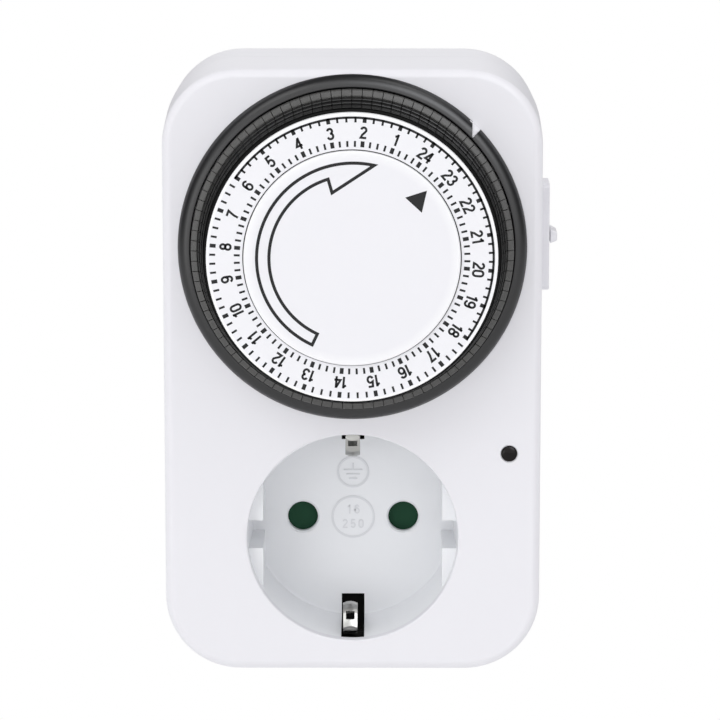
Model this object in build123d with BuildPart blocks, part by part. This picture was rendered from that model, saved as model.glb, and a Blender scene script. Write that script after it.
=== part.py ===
"""Plug-in timer switch: an earthed outlet with a 24-hour dial, on an earthed plug.

Millimetres. The origin is midway between the plug pins on the plug's nose face.
+Y points into the wall, the front faces -Y, +Z is up.
"""
from build123d import *
import os
from math import acos, cos, pi, radians, sin, sqrt, tan

os.makedirs("parts", exist_ok=True)

# ---- Driving dimensions: case
body_width = 70.0
body_height = 113.0
body_depth = 35.0
corner_radius = 14.0
cover_depth = 18.0
wall = 2.0
draft = 1.0
front_edge_radius = 1.6
rear_edge_radius = 2.0
seam_chamfer = 0.35
earth_arm_gap = 0.7
tongue_height = 1.5
tongue_wall = 0.9
fit_gap = 0.1
same_radius = 0.01

# ---- Case screws
screw_inset = 8.0
screw_radius = 1.45
screw_head_radius = 2.8
screw_head_height = 2.0
screw_sink = 5.0
screw_bite = 9.0
screw_bore_spare = 1.0
boss_radius = 3.0
pillar_radius = 4.2

# ---- Plug nose and pins
nose_length = 17.0
nose_radius = 18.6
nose_half_width = 16.3
nose_wall = 2.5
guide_groove_wall = 1.0
earth_groove_wall = 2.2
nose_cavity_corner = 8.0
nose_edge_radius = 0.8
guide_groove_width = 4.6
guide_groove_depth = 1.8
earth_groove_width = 6.0
earth_groove_depth = 1.9
pin_spacing = 19.0
pin_radius = 2.4
pin_length = 19.0
pin_tip_radius = 1.2
pin_neck_radius = 2.2
pin_neck_gap = 0.2
pin_relief_gap = 0.1
pin_relief_depth = 0.3
pin_flange_radius = 3.2
pin_flange_thickness = 1.5
pin_shank_radius = 2.0

# ---- Outlet recess
recess_radius = 19.5
recess_floor_radius = 18.9
recess_depth = 17.5
recess_chamfer = 0.4
floor_thickness = 1.5
cup_wall = 1.8
flat_half_width = 16.65
flat_setback = 3.0
guide_slot_width = 5.3
earth_slot_width = 4.3
earth_slot_inner = 15.0
contact_hole_clearance = 0.45
hole_chamfer = 0.3

# ---- Shutter
shutter_gap = 0.3
shutter_thickness = 1.6
shutter_pivot_radius = 1.8
shutter_hub_radius = 3.6
shutter_paddle_radius = 3.7
shutter_arm_width = 4.4
turn_fit = 0.05
spring_wire = 0.5
spring_ring_radius = 2.9
spring_leg_start = 2.0
spring_leg_length = 4.6

# ---- Contacts and bars
contact_wall = 0.7
contact_split = 0.7
bar_thickness = 0.8
bar_width = 4.0
feed_step = 11.0
switched_step = 7.0
feed_bar_depth = 2.0
switched_bar_depth = 4.6
earth_width = 5.0
earth_tongue_gap = 0.5
earth_strap_lift = 1.9
earth_arm_lap = 3.0
earth_clip_width = 2.6
earth_clip_thickness = 0.5
earth_clip_reach = 15.2
earth_clip_sink = 1.0
earth_clip_lead = 5.5
earth_clip_tail = 5.0
earth_clip_return = 3.0
earth_clip_bend = 0.8
earth_clip_gap = 0.2
pin_end_gap = 0.2
sleeve_to_pin = 3.8

# ---- Dial
dial_side_margin = 3.1
dial_top_margin = 1.1
dial_recess_gap = 3.1
bezel_width = 2.3
bezel_overhang = 1.2
bezel_height = 1.8
notch_angle = 45.5
notch_half_angle = 2.9
notch_tip_gap = 0.25
pointer_half_angle = 2.0
pointer_tip_gap = 0.4
pointer_height = 1.2
pointer_taper = 20
bezel_skirt = 0.8
bezel_rim_height = 0.3
bezel_crown = [(0.35, 1.0), (0.95, 1.5)]
bezel_lip_width = 0.3
bezel_lip_drop = 0.2
drum_proud = 10.9
drum_wall = 1.6
drum_plate = 1.6
flange_gap = 0.4
flange_thickness = 2.4
flange_sink = 1.2
scale_inset = 0.5
scale_thickness = 0.6
scale_band = 6.75
cap_thickness = 1.1
cap_gap = 0.25
cap_side_gap = 0.2
cap_chamfer = 0.3
cap_peg_length = 5.0
post_bore_depth = 6.0
post_radius = 3.0
post_bore = 1.6
hub_radius = 5.5
hub_front = 2.0
post_flange_radius = 4.5
post_flange_thickness = 1.5
tab_count = 96
tabs_per_hour = 4
tab_side_gap = 0.25
tab_bezel_gap = 0.6
tab_foot_width = 1.0
tab_foot_depth = 1.35
tab_foot_inset = 0.4
tab_foot_gap = 0.45
tab_rest_gap = 2.7
tab_travel = 2.5
tab_foot_reach = 6.0
tab_ledge_height = 1.9
tab_ledge_width = 0.85
tab_ledge_edge = 0.3
tab_hook_width = 0.25
tab_hook_drop = 0.4
tab_step = 7.0
tab_step_drop = 0.2
tab_root = 0.55
tab_blade = 0.2
tab_tip = 0.15
tab_top_gap = 0.4
second_hour_angle = 5.5

# ---- Gear train
ring_teeth = 78
ring_rim = 1.8
ring_pinion_teeth = 12
ring_width = 4.0
wheel_teeth = 40
wheel_post_gap = 6.8
motor_teeth = 10
wheel_width = 1.4
wheel_plate_gap = 0.5
pinion_end_gap = 0.2
tooth_root = 1.2
tooth_tip = 0.9
ring_tooth_tip = 0.8
gear_backlash = 0.16
arbor_radius = 1.0
arbor_head_radius = 2.0
arbor_head_thickness = 0.6
gear_direction = 225.0
motor_direction = 20.0
motor_radius = 17.0
motor_depth = 14.0
motor_shaft_radius = 0.8
motor_shaft_depth = 4.0
motor_bore_depth = 5.0
motor_hole_gap = 1.0
motor_chamfer = 1.0

# ---- Mechanism plate
plate_side_gap = 0.9
plate_corner = 3.0
plate_thickness = 1.6
plate_sink = 11.0
plate_post_radius = 2.4
plate_post_gap = 0.35
plate_side_edge = 3.0
plate_end_edge = 3.2
rivet_radius = 1.2
rivet_proud = 0.6

# ---- Microswitch and trip lever
switch_body_width = 6.4
switch_body_height = 20.0
switch_body_depth = 10.2
switch_chamfer = 0.6
switch_inset = 0.525
lever_width = 3.6
lever_thickness = 0.5
lever_side_gap = 0.3
lever_pivot_radius = 0.6
lever_hub_radius = 1.0
lever_ear_radius = 1.3
lever_ear_root = 1.0
lever_end_gap = 0.2
lever_nose_setback = 1.0
lever_notch_low = 2.1
lever_notch_high = 0.9
lever_pivot_drop = 6.5
lever_length = 14.2
lever_sink = 10.4
lever_nose = 1.5
plunger_radius = 1.0
plunger_chamfer = 0.5
plunger_inside = 2.5
plunger_bore_depth = 4.0
plunger_arm = 6.0
blade_width = 3.0
blade_spacing = 7.0
blade_root = 1.0

# ---- Side switch
slide_above_dial = 1.1
slide_behind_face = 9.5
slide_frame_height = 19.8
slide_frame_width = 8.4
slide_frame_proud = 1.35
slide_frame_corner = 0.9
slide_frame_round = 0.4
slide_seat_depth = 0.6
slide_travel = 4.0
stem_height = 2.4
stem_width = 3.0
knob_gap = 0.15
knob_foot_lip = 1.0
knob_foot_height = 1.2
knob_foot_thickness = 1.0
window_margin = 1.5
knob_height = 2.7
knob_width = 6.0
knob_proud = 1.5
knob_low_slope = 0.4
knob_high_slope = 0.9

# ---- Indicator lamp
lens_inset = 6.1
lens_z = 16.0
lens_radius = 1.45
lens_proud = 0.25
lens_round = 0.35
lens_flange_radius = 2.2
lamp_radius = 1.9
lamp_round = 1.3
lamp_length = 9.0
lamp_tube_wall = 0.8
lamp_tube_length = 7.0

# ---- Sizes and places worked out from those above
front_y = -(nose_length + body_depth)
rear_y = -nose_length
split_y = front_y + cover_depth
cup_radius = recess_radius + cup_wall
arm_z = cup_radius + earth_clip_gap + earth_clip_thickness + bar_thickness / 2
socket_above_bottom = arm_z + bar_thickness / 2 + earth_arm_gap + wall
case_z = body_height / 2 - socket_above_bottom
room_above_recess = body_height - socket_above_bottom - recess_radius
dial_room = min(
    body_width - 2 * dial_side_margin,
    room_above_recess - dial_recess_gap - dial_top_margin,
)
bezel_radius = dial_room / 2
bezel_inner = bezel_radius - bezel_width
bezel_collar = bezel_radius - bezel_overhang
dial_z = recess_radius + dial_recess_gap + bezel_radius
flange_radius = bezel_inner - flange_gap
tab_outer = bezel_inner - tab_bezel_gap
tab_foot_outer = tab_outer - tab_foot_inset
tab_foot_inner = tab_foot_outer - tab_foot_depth
drum_radius = tab_foot_inner - tab_foot_gap
tab_width = 2 * pi * (drum_radius + fit_gap) / tab_count - tab_side_gap
scale_radius = drum_radius - scale_inset
cap_radius = scale_radius - scale_band
screw_x = body_width / 2 - screw_inset
screw_low_z = case_z - body_height / 2 + screw_inset
screw_high_z = case_z + body_height / 2 - screw_inset
screw_places = [(x, z) for x in (-screw_x, screw_x) for z in (screw_low_z, screw_high_z)]
pin_x = pin_spacing / 2
floor_y = front_y + recess_depth
cup_back_y = floor_y + floor_thickness
nose_cavity_width = 2 * (nose_half_width - guide_groove_depth - guide_groove_wall)
nose_cavity_height = 2 * (nose_radius - earth_groove_depth - earth_groove_wall)
contact_radius = pin_radius + contact_wall
contact_hole_radius = pin_radius + contact_hole_clearance
contact_back_y = floor_y + pin_length + pin_end_gap
pin_back_y = contact_back_y + sleeve_to_pin
slide_z = dial_z + slide_above_dial
lens_x = body_width / 2 - lens_inset
tab_pitch = 360 / tab_count
dial_opening = bezel_collar + fit_gap


def level(y):
    """A drawing plane parallel to the front face, at depth y, that looks to the front."""
    return Plane.XZ.offset(-y)


def radial_plane(angle, x=0.0, z=dial_z):
    """A plane through the axis at (x, z): local x is the radius at a clockwise
    angle from the top, and local y is the height in front of the front face."""
    turn = radians(angle)
    return Plane(
        origin=(x, front_y, z),
        x_dir=(sin(turn), 0, cos(turn)),
        z_dir=(cos(turn), 0, -sin(turn)),
    )


def around(x, z):
    """The axis through (x, z), pointing to the front."""
    return Axis((x, front_y, z), (0, -1, 0))


def polar(radius, angle, x=0.0, z=dial_z):
    """The point at a radius and a clockwise angle from the top, in x and z."""
    return (x + radius * sin(radians(angle)), z + radius * cos(radians(angle)))


def case_outline(inset=0.0, mode=Mode.ADD):
    """The rounded outline of the case, moved inwards."""
    width = body_width - 2 * inset
    height = body_height - 2 * inset
    return RectangleRounded(width, height, corner_radius - inset, mode=mode)


def gear_points(teeth, module, inner, outer, phase, slack):
    """The outline of a gear with involute flanks, drawn from inner to outer radius.
    The phase is the clockwise angle from the top of one tooth's centre, and
    slack is what each tooth loses in width at the pitch circle."""
    pitch = teeth * module / 2
    base = pitch * cos(radians(20))
    rolled = tan(radians(20)) - radians(20)
    half = pi / (2 * teeth) - slack / (2 * pitch)
    flank = []
    for radius in (inner, pitch, outer):
        pressure = acos(min(1.0, base / radius))
        flank.append((radius, half + rolled - (tan(pressure) - pressure)))
    points = []
    for tooth in range(teeth):
        centre = radians(phase) + 2 * pi * tooth / teeth
        for radius, angle in flank:
            points.append((radius * sin(centre - angle), radius * cos(centre - angle)))
        for radius, angle in reversed(flank):
            points.append((radius * sin(centre + angle), radius * cos(centre + angle)))
    return points


def circles(edges, radius):
    """The round edges of one radius."""
    rounds = edges.filter_by(GeomType.CIRCLE)
    return rounds.filter_by(lambda edge: abs(edge.radius - radius) < same_radius)


def finish(builder, name):
    """Labels a finished piece and writes it."""
    builder.part.label = name
    export_step(builder.part, f"parts/{name}.step")


# ---- Gear places
ring_outer = drum_radius - drum_wall
ring_pitch = ring_outer - ring_rim
ring_module = 2 * ring_pitch / ring_teeth
ring_pinion_pitch = ring_pinion_teeth * ring_module / 2
wheel_pitch = ring_pitch - ring_pinion_pitch - post_radius - wheel_post_gap
wheel_module = 2 * wheel_pitch / wheel_teeth
motor_pitch = motor_teeth * wheel_module / 2
gear_x, gear_z = polar(ring_pitch - ring_pinion_pitch, gear_direction)
motor_x, motor_z = polar(wheel_pitch + motor_pitch, motor_direction, gear_x, gear_z)
ring_root = ring_pitch + tooth_root * ring_module
ring_tip = ring_pitch - ring_tooth_tip * ring_module
plate_front_y = front_y + plate_sink
plate_back_y = plate_front_y + plate_thickness
wheel_back_y = plate_front_y - wheel_plate_gap
wheel_front_y = wheel_back_y - wheel_width
ring_back_y = front_y + flange_sink + flange_thickness
plate_width = dial_room - 2 * plate_side_gap
plate_post_x = plate_width / 2 - plate_side_edge
post_ring = bezel_collar + plate_post_gap + plate_post_radius
plate_post_z = sqrt(post_ring**2 - plate_post_x**2)
plate_height = 2 * (plate_post_z + plate_end_edge)
plate_posts = [
    (x, dial_z + z)
    for x in (-plate_post_x, plate_post_x)
    for z in (-plate_post_z, plate_post_z)
]
switch_body_x = (tab_foot_inner + tab_foot_outer) / 2 - switch_inset
switch_body_z = slide_z
lever_pivot_z = switch_body_z - lever_pivot_drop
lever_nose_z = lever_pivot_z + lever_length - lever_nose_setback
plunger_z = lever_pivot_z + plunger_arm
lever_back_y = front_y + lever_sink + lever_thickness
common_blade_z = switch_body_z - blade_spacing
open_blade_z = switch_body_z

# ---- Front cover
side_x = body_width / 2 - (cover_depth - slide_behind_face) * tan(radians(draft))
seat_x = side_x - slide_seat_depth
slide_y = front_y + slide_behind_face
window_height = slide_frame_height - 2 * window_margin
window_width = slide_frame_width - 2 * window_margin
lamp_tube_radius = lens_flange_radius + fit_gap + lamp_tube_wall

with BuildPart() as front_cover:
    with BuildSketch(level(split_y)):
        with Locations((0, case_z)):
            case_outline()
    extrude(amount=cover_depth, taper=draft)
    fillet(front_cover.faces().sort_by(Axis.Y)[0].edges(), front_edge_radius)
    chamfer(front_cover.faces().sort_by(Axis.Y)[-1].edges(), seam_chamfer)
    with BuildSketch(level(split_y)):
        with Locations((0, case_z)):
            case_outline(wall)
    extrude(amount=cover_depth - wall, taper=draft, mode=Mode.SUBTRACT)
    with BuildSketch(level(front_y)):
        with Locations((0, dial_z)):
            Circle(dial_opening)
    extrude(amount=-wall, mode=Mode.SUBTRACT)
    with BuildSketch(level(split_y)):
        with Locations(*screw_places):
            Circle(boss_radius)
    extrude(amount=cover_depth - wall / 2)
    with BuildSketch(level(split_y)):
        with Locations(*screw_places):
            Circle(screw_radius + turn_fit)
    extrude(amount=screw_bite + screw_bore_spare, mode=Mode.SUBTRACT)
    with BuildSketch(level(plate_front_y)):
        with Locations(*plate_posts):
            Circle(plate_post_radius)
    extrude(amount=plate_sink - wall / 2)
    with BuildSketch(level(plate_front_y)):
        with Locations(*plate_posts):
            Circle(rivet_radius)
    extrude(amount=-(plate_thickness + rivet_proud))
    with BuildSketch(level(front_y + wall / 2)):
        with Locations((lens_x, lens_z)):
            Circle(lamp_tube_radius)
    extrude(amount=-(lamp_tube_length - wall / 2))
    with BuildSketch(level(front_y + wall)):
        with Locations((lens_x, lens_z)):
            Circle(lens_flange_radius + fit_gap)
    extrude(amount=-lamp_tube_length, mode=Mode.SUBTRACT)
    with BuildSketch(level(front_y)):
        with Locations((lens_x, lens_z)):
            Circle(lens_radius + fit_gap / 2)
    extrude(amount=-wall, mode=Mode.SUBTRACT)
    with BuildSketch(Plane.YZ.offset(seat_x)):
        with Locations((slide_y, slide_z)):
            RectangleRounded(
                slide_frame_width + fit_gap,
                slide_frame_height + fit_gap,
                slide_frame_corner + fit_gap,
            )
    extrude(amount=wall, mode=Mode.SUBTRACT)
    with BuildSketch(Plane.YZ.offset(seat_x)):
        with Locations((slide_y, slide_z)):
            Rectangle(window_width, window_height)
    extrude(amount=-2 * wall, mode=Mode.SUBTRACT)
    with BuildSketch(level(front_y)):
        Circle(recess_radius)
    extrude(amount=-wall, mode=Mode.SUBTRACT)
    face_edges = front_cover.faces().sort_by(Axis.Y)[0].edges()
    chamfer(circles(face_edges, recess_radius), recess_chamfer)
    with BuildSketch(level(front_y)):
        Polygon(
            polar(bezel_inner + pointer_tip_gap, notch_angle),
            polar(bezel_radius - fit_gap, notch_angle - pointer_half_angle),
            polar(bezel_radius - fit_gap, notch_angle + pointer_half_angle),
            align=None,
        )
    extrude(amount=pointer_height, taper=pointer_taper)
finish(front_cover, "front_cover")


# ---- Rear case with the plug nose
rear_inner_y = rear_y - wall
strap_z = nose_radius - earth_groove_depth + bar_thickness / 2
strap_y = rear_inner_y - earth_strap_lift
with BuildPart() as rear_case:
    with BuildSketch(level(split_y)):
        with Locations((0, case_z)):
            case_outline()
    extrude(amount=split_y - rear_y, taper=draft)
    fillet(rear_case.faces().sort_by(Axis.Y)[-1].edges(), rear_edge_radius)
    chamfer(rear_case.faces().sort_by(Axis.Y)[0].edges(), seam_chamfer)
    with BuildSketch(level(split_y)):
        with Locations((0, case_z)):
            case_outline(wall)
    extrude(amount=split_y - rear_inner_y, taper=draft, mode=Mode.SUBTRACT)
    with BuildSketch(level(split_y + 2 * tongue_height)):
        with Locations((0, case_z)):
            case_outline(wall - fit_gap)
            case_outline(wall + fit_gap + tongue_wall, mode=Mode.SUBTRACT)
        with Locations((0, -arm_z)):
            Rectangle(earth_width + 2 * earth_tongue_gap, bar_width, mode=Mode.SUBTRACT)
    extrude(amount=2 * tongue_height)
    with BuildSketch(level(split_y)):
        with Locations((0, case_z)):
            case_outline(wall + 2 * fit_gap)
            case_outline(wall + fit_gap + tongue_wall, mode=Mode.SUBTRACT)
        with Locations(*screw_places):
            Circle(boss_radius + fit_gap, mode=Mode.SUBTRACT)
        with Locations((0, -arm_z)):
            Rectangle(earth_width + 2 * earth_tongue_gap, bar_width, mode=Mode.SUBTRACT)
    extrude(amount=tongue_height)
    with BuildSketch(level(rear_y - wall / 2)):
        with Locations(*screw_places):
            Circle(pillar_radius)
    extrude(amount=rear_y - wall / 2 - split_y)
    with BuildSketch(level(rear_y)):
        with Locations(*screw_places):
            Circle(screw_head_radius + fit_gap)
    extrude(amount=screw_sink, mode=Mode.SUBTRACT)
    with BuildSketch(level(rear_y)):
        with Locations(*screw_places):
            Circle(screw_radius + fit_gap)
    extrude(amount=rear_y - split_y, mode=Mode.SUBTRACT)
    with BuildSketch(level(rear_inner_y)):
        Circle(nose_radius)
        Rectangle(2 * nose_half_width, 2 * nose_radius, mode=Mode.INTERSECT)
    extrude(amount=-(nose_length + wall))
    fillet(rear_case.faces().sort_by(Axis.Y)[-1].edges(), nose_edge_radius)
    with BuildSketch(level(-nose_wall)):
        RectangleRounded(nose_cavity_width, nose_cavity_height, nose_cavity_corner)
    extrude(amount=nose_length + 2 * wall - nose_wall, mode=Mode.SUBTRACT)
    with BuildSketch(level(0)):
        with Locations((-nose_half_width, 0), (nose_half_width, 0)):
            Rectangle(2 * guide_groove_depth, guide_groove_width)
        with Locations((0, -nose_radius), (0, nose_radius)):
            Rectangle(earth_groove_width, 2 * earth_groove_depth)
    extrude(amount=nose_length, mode=Mode.SUBTRACT)
    with BuildSketch(level(rear_y)):
        with Locations((0, -strap_z), (0, strap_z)):
            Rectangle(earth_width + 2 * fit_gap, bar_thickness + 2 * fit_gap)
    extrude(amount=wall, mode=Mode.SUBTRACT)
    with BuildSketch(level(0)):
        with Locations((-pin_x, 0), (pin_x, 0)):
            Circle(pin_neck_radius + turn_fit)
    extrude(amount=nose_wall, mode=Mode.SUBTRACT)
    with BuildSketch(level(0)):
        with Locations((-pin_x, 0), (pin_x, 0)):
            Circle(pin_radius + pin_relief_gap)
    extrude(amount=pin_relief_depth, mode=Mode.SUBTRACT)
finish(rear_case, "rear_case")

# ---- Case screws, driven in from behind
with BuildPart() as case_screws:
    with BuildSketch(level(rear_y - screw_sink)):
        with Locations(*screw_places):
            Circle(screw_head_radius)
    extrude(amount=-screw_head_height)
    chamfer(case_screws.faces().sort_by(Axis.Y)[-4:].edges(), screw_head_height / 3)
    with BuildSketch(level(rear_y - screw_sink)):
        with Locations(*screw_places):
            Circle(screw_radius)
    extrude(amount=rear_y - screw_sink - split_y + screw_bite)
finish(case_screws, "case_screws")

# ---- Outlet recess
cup_front = -wall
with BuildPart() as socket_cup:
    with BuildSketch(radial_plane(0, 0, 0)):
        with BuildLine():
            Polyline(
                (0, front_y - cup_back_y),
                (cup_radius, front_y - cup_back_y),
                (cup_radius, cup_front),
                (recess_radius, cup_front),
                (recess_floor_radius, -recess_depth),
                (0, -recess_depth),
                close=True,
            )
        make_face()
    revolve(axis=around(0, 0))
    with BuildSketch(level(floor_y + floor_thickness / 2)):
        Circle(recess_radius + cup_wall / 2)
        Rectangle(2 * flat_half_width, 2 * cup_radius, mode=Mode.SUBTRACT)
        Rectangle(2 * recess_floor_radius, guide_slot_width, mode=Mode.SUBTRACT)
    extrude(amount=floor_thickness / 2 + recess_depth - flat_setback)
    with BuildSketch(level(cup_back_y)):
        slot_length = cup_radius + wall - earth_slot_inner
        slot_middle = earth_slot_inner + slot_length / 2
        with Locations((0, -slot_middle), (0, slot_middle)):
            Rectangle(earth_slot_width, slot_length)
    extrude(amount=cup_back_y - front_y, mode=Mode.SUBTRACT)
    with BuildSketch(level(cup_back_y)):
        with Locations((-pin_x, 0), (pin_x, 0)):
            Circle(contact_hole_radius)
    extrude(amount=floor_thickness, mode=Mode.SUBTRACT)
    hole_edges = circles(socket_cup.edges(), contact_hole_radius)
    chamfer(hole_edges.sort_by(Axis.Y)[:2], hole_chamfer)
    with BuildSketch(level(cup_back_y)):
        Circle(shutter_pivot_radius)
    extrude(amount=-(2 * shutter_gap + shutter_thickness + spring_wire))
finish(socket_cup, "socket_cup")

# ---- Child-protection shutter and its return spring
shutter_y = cup_back_y + shutter_gap
with BuildPart() as shutter:
    with BuildSketch(level(shutter_y)):
        Circle(shutter_hub_radius)
        Rectangle(pin_spacing, shutter_arm_width)
        with Locations((-pin_x, 0), (pin_x, 0)):
            Circle(shutter_paddle_radius)
        Circle(shutter_pivot_radius + turn_fit, mode=Mode.SUBTRACT)
    extrude(amount=-shutter_thickness)
finish(shutter, "shutter")

with BuildPart() as shutter_spring:
    with BuildSketch(level(shutter_y + shutter_thickness)):
        Circle(spring_ring_radius)
        Circle(spring_ring_radius - spring_wire, mode=Mode.SUBTRACT)
        with Locations((spring_ring_radius, 0)):
            Rectangle(spring_ring_radius, 3 * spring_wire, mode=Mode.SUBTRACT)
        leg_middle = spring_leg_start + spring_leg_length / 2
        with Locations((leg_middle, -2 * spring_wire), (leg_middle, 2 * spring_wire)):
            Rectangle(spring_leg_length, spring_wire)
    extrude(amount=-spring_wire)
finish(shutter_spring, "shutter_spring")

# ---- Contact sleeves and plug pins
contact_front_y = shutter_y + shutter_thickness + spring_wire + shutter_gap
for side, name in ((-1, "neutral_contact"), (1, "live_contact")):
    with BuildPart() as contact:
        with BuildSketch(level(contact_back_y)):
            with Locations((side * pin_x, 0)):
                Circle(contact_radius)
                Circle(pin_radius, mode=Mode.SUBTRACT)
            with Locations((side * (pin_x + contact_radius), 0)):
                Rectangle(2 * contact_radius, contact_split, mode=Mode.SUBTRACT)
        extrude(amount=contact_back_y - contact_front_y)
    finish(contact, name)

for side, name in ((-1, "neutral_pin"), (1, "live_pin")):
    with BuildPart() as pin:
        with BuildSketch(level(pin_back_y)):
            with Locations((side * pin_x, 0)):
                Circle(pin_shank_radius)
        extrude(amount=pin_back_y + nose_wall)
        with BuildSketch(level(-nose_wall)):
            with Locations((side * pin_x, 0)):
                Circle(pin_flange_radius)
        extrude(amount=pin_flange_thickness)
        with BuildSketch(level(-nose_wall)):
            with Locations((side * pin_x, 0)):
                Circle(pin_neck_radius)
        extrude(amount=-(nose_wall + pin_neck_gap))
        with BuildSketch(level(pin_neck_gap)):
            with Locations((side * pin_x, 0)):
                Circle(pin_radius)
        extrude(amount=pin_neck_gap - pin_length)
        fillet(pin.faces().sort_by(Axis.Y)[-1].edges(), pin_tip_radius)
    finish(pin, name)

# ---- Bars between contacts, pins and the microswitch
sleeve_bar_y = contact_back_y + bar_thickness / 2
pin_bar_y = pin_back_y - bar_thickness / 2
feed_y = rear_inner_y - feed_bar_depth
switched_y = rear_inner_y - switched_bar_depth
bar_foot = -bar_width / 2
bar_rise_z = cup_radius + bar_width
with BuildPart() as neutral_bar:
    with BuildSketch(Plane.YZ.offset(-pin_x - bar_width / 2)):
        with BuildLine():
            neutral_path = Polyline(
                (sleeve_bar_y, bar_foot),
                (sleeve_bar_y, bar_width),
                (pin_bar_y, bar_width),
                (pin_bar_y, bar_foot),
            )
        trace(neutral_path, bar_thickness)
    extrude(amount=bar_width)
finish(neutral_bar, "neutral_bar")

with BuildPart() as live_feed_bar:
    with BuildSketch(Plane.YZ.offset(pin_x - bar_width / 2)):
        with BuildLine():
            feed_path = Polyline(
                (pin_bar_y, bar_foot),
                (pin_bar_y, feed_step),
                (feed_y, feed_step),
                (feed_y, bar_rise_z),
            )
        trace(feed_path, bar_thickness)
    extrude(amount=bar_width)
    with BuildSketch(level(feed_y + bar_thickness / 2)):
        with BuildLine():
            feed_run = Polyline(
                (pin_x, bar_rise_z - bar_width),
                (pin_x, bar_rise_z + bar_width),
                (switch_body_x, common_blade_z - bar_width),
                (switch_body_x, common_blade_z + blade_width / 2),
            )
        trace(feed_run, bar_width)
    extrude(amount=bar_thickness)
finish(live_feed_bar, "live_feed_bar")

with BuildPart() as switched_live_bar:
    with BuildSketch(Plane.YZ.offset(pin_x - bar_width / 2)):
        with BuildLine():
            switched_path = Polyline(
                (sleeve_bar_y, bar_foot),
                (sleeve_bar_y, switched_step),
                (switched_y, switched_step),
                (switched_y, bar_rise_z),
            )
        trace(switched_path, bar_thickness)
    extrude(amount=bar_width)
    with BuildSketch(level(switched_y + bar_thickness / 2)):
        with BuildLine():
            switched_run = Polyline(
                (pin_x, bar_rise_z - bar_width),
                (pin_x, open_blade_z - 2 * bar_width),
                (pin_x + 2 * bar_width, open_blade_z),
                (switch_body_x + blade_width / 2, open_blade_z),
            )
        trace(switched_run, bar_width)
    extrude(amount=bar_thickness)
finish(switched_live_bar, "switched_live_bar")

# ---- Earth strap and the two clips in the recess
arm_end_y = cup_back_y - earth_arm_lap
with BuildPart() as earth_strap:
    with BuildSketch(Plane.YZ.offset(-earth_width / 2)):
        with BuildLine():
            strap_path = Polyline(
                (arm_end_y, arm_z), (strap_y, arm_z), (strap_y, -arm_z), (arm_end_y, -arm_z)
            )
        trace(strap_path, bar_thickness)
        for side in (-1, 1):
            with BuildLine():
                tongue_path = Line((strap_y, side * strap_z), (-nose_wall, side * strap_z))
            trace(tongue_path, bar_thickness)
    extrude(amount=earth_width)
finish(earth_strap, "earth_strap")

clip_z = arm_z - bar_thickness / 2 - earth_clip_thickness / 2
clip_front_y = front_y + wall + earth_clip_sink
clip_bulge_y = clip_front_y + earth_clip_lead
clip_end_y = clip_bulge_y + earth_clip_tail
with BuildPart() as earth_clips:
    with BuildSketch(Plane.YZ.offset(-earth_clip_width / 2)):
        for side in (-1, 1):
            with BuildLine():
                clip_path = FilletPolyline(
                    (strap_y - bar_thickness, side * clip_z),
                    (clip_front_y, side * clip_z),
                    (clip_bulge_y, side * earth_clip_reach),
                    (clip_end_y, side * (earth_clip_reach + earth_clip_return)),
                    radius=earth_clip_bend,
                )
            trace(clip_path, earth_clip_thickness)
    extrude(amount=earth_clip_width)
finish(earth_clips, "earth_clips")

# ---- Indicator lens and lamp
with BuildPart() as indicator_lens:
    with BuildSketch(level(front_y + wall)):
        with Locations((lens_x, lens_z)):
            Circle(lens_radius)
    extrude(amount=wall + lens_proud)
    fillet(indicator_lens.faces().sort_by(Axis.Y)[0].edges(), lens_round)
    with BuildSketch(level(front_y + wall)):
        with Locations((lens_x, lens_z)):
            Circle(lens_flange_radius)
    extrude(amount=-wall / 2)
finish(indicator_lens, "indicator_lens")

lamp_front_y = front_y + 1.5 * wall + fit_gap
with BuildPart() as indicator_lamp:
    with BuildSketch(level(lamp_front_y + lamp_length)):
        with Locations((lens_x, lens_z)):
            Circle(lamp_radius)
    extrude(amount=lamp_length)
    fillet(indicator_lamp.faces().sort_by(Axis.Y)[0].edges(), lamp_round)
finish(indicator_lamp, "indicator_lamp")

# ---- Fixed bezel around the dial
with BuildPart() as dial_bezel:
    with BuildSketch(radial_plane(0)):
        with BuildLine():
            Polyline(
                (bezel_inner, bezel_height - bezel_lip_drop),
                (bezel_inner, -wall - bezel_skirt),
                (bezel_collar, -wall - bezel_skirt),
                (bezel_collar, 0),
                (bezel_radius, 0),
                (bezel_radius, bezel_rim_height),
                *[(bezel_radius - inset, height) for inset, height in bezel_crown],
                (bezel_inner + bezel_lip_width, bezel_height),
                close=True,
            )
        make_face()
    revolve(axis=around(0, dial_z))
    with BuildSketch(level(front_y + fit_gap)):
        Polygon(
            polar(bezel_inner + notch_tip_gap, notch_angle),
            polar(bezel_radius + bezel_skirt, notch_angle - notch_half_angle),
            polar(bezel_radius + bezel_skirt, notch_angle + notch_half_angle),
            align=None,
        )
    extrude(amount=2 * bezel_height, mode=Mode.SUBTRACT)
finish(dial_bezel, "dial_bezel")

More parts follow.
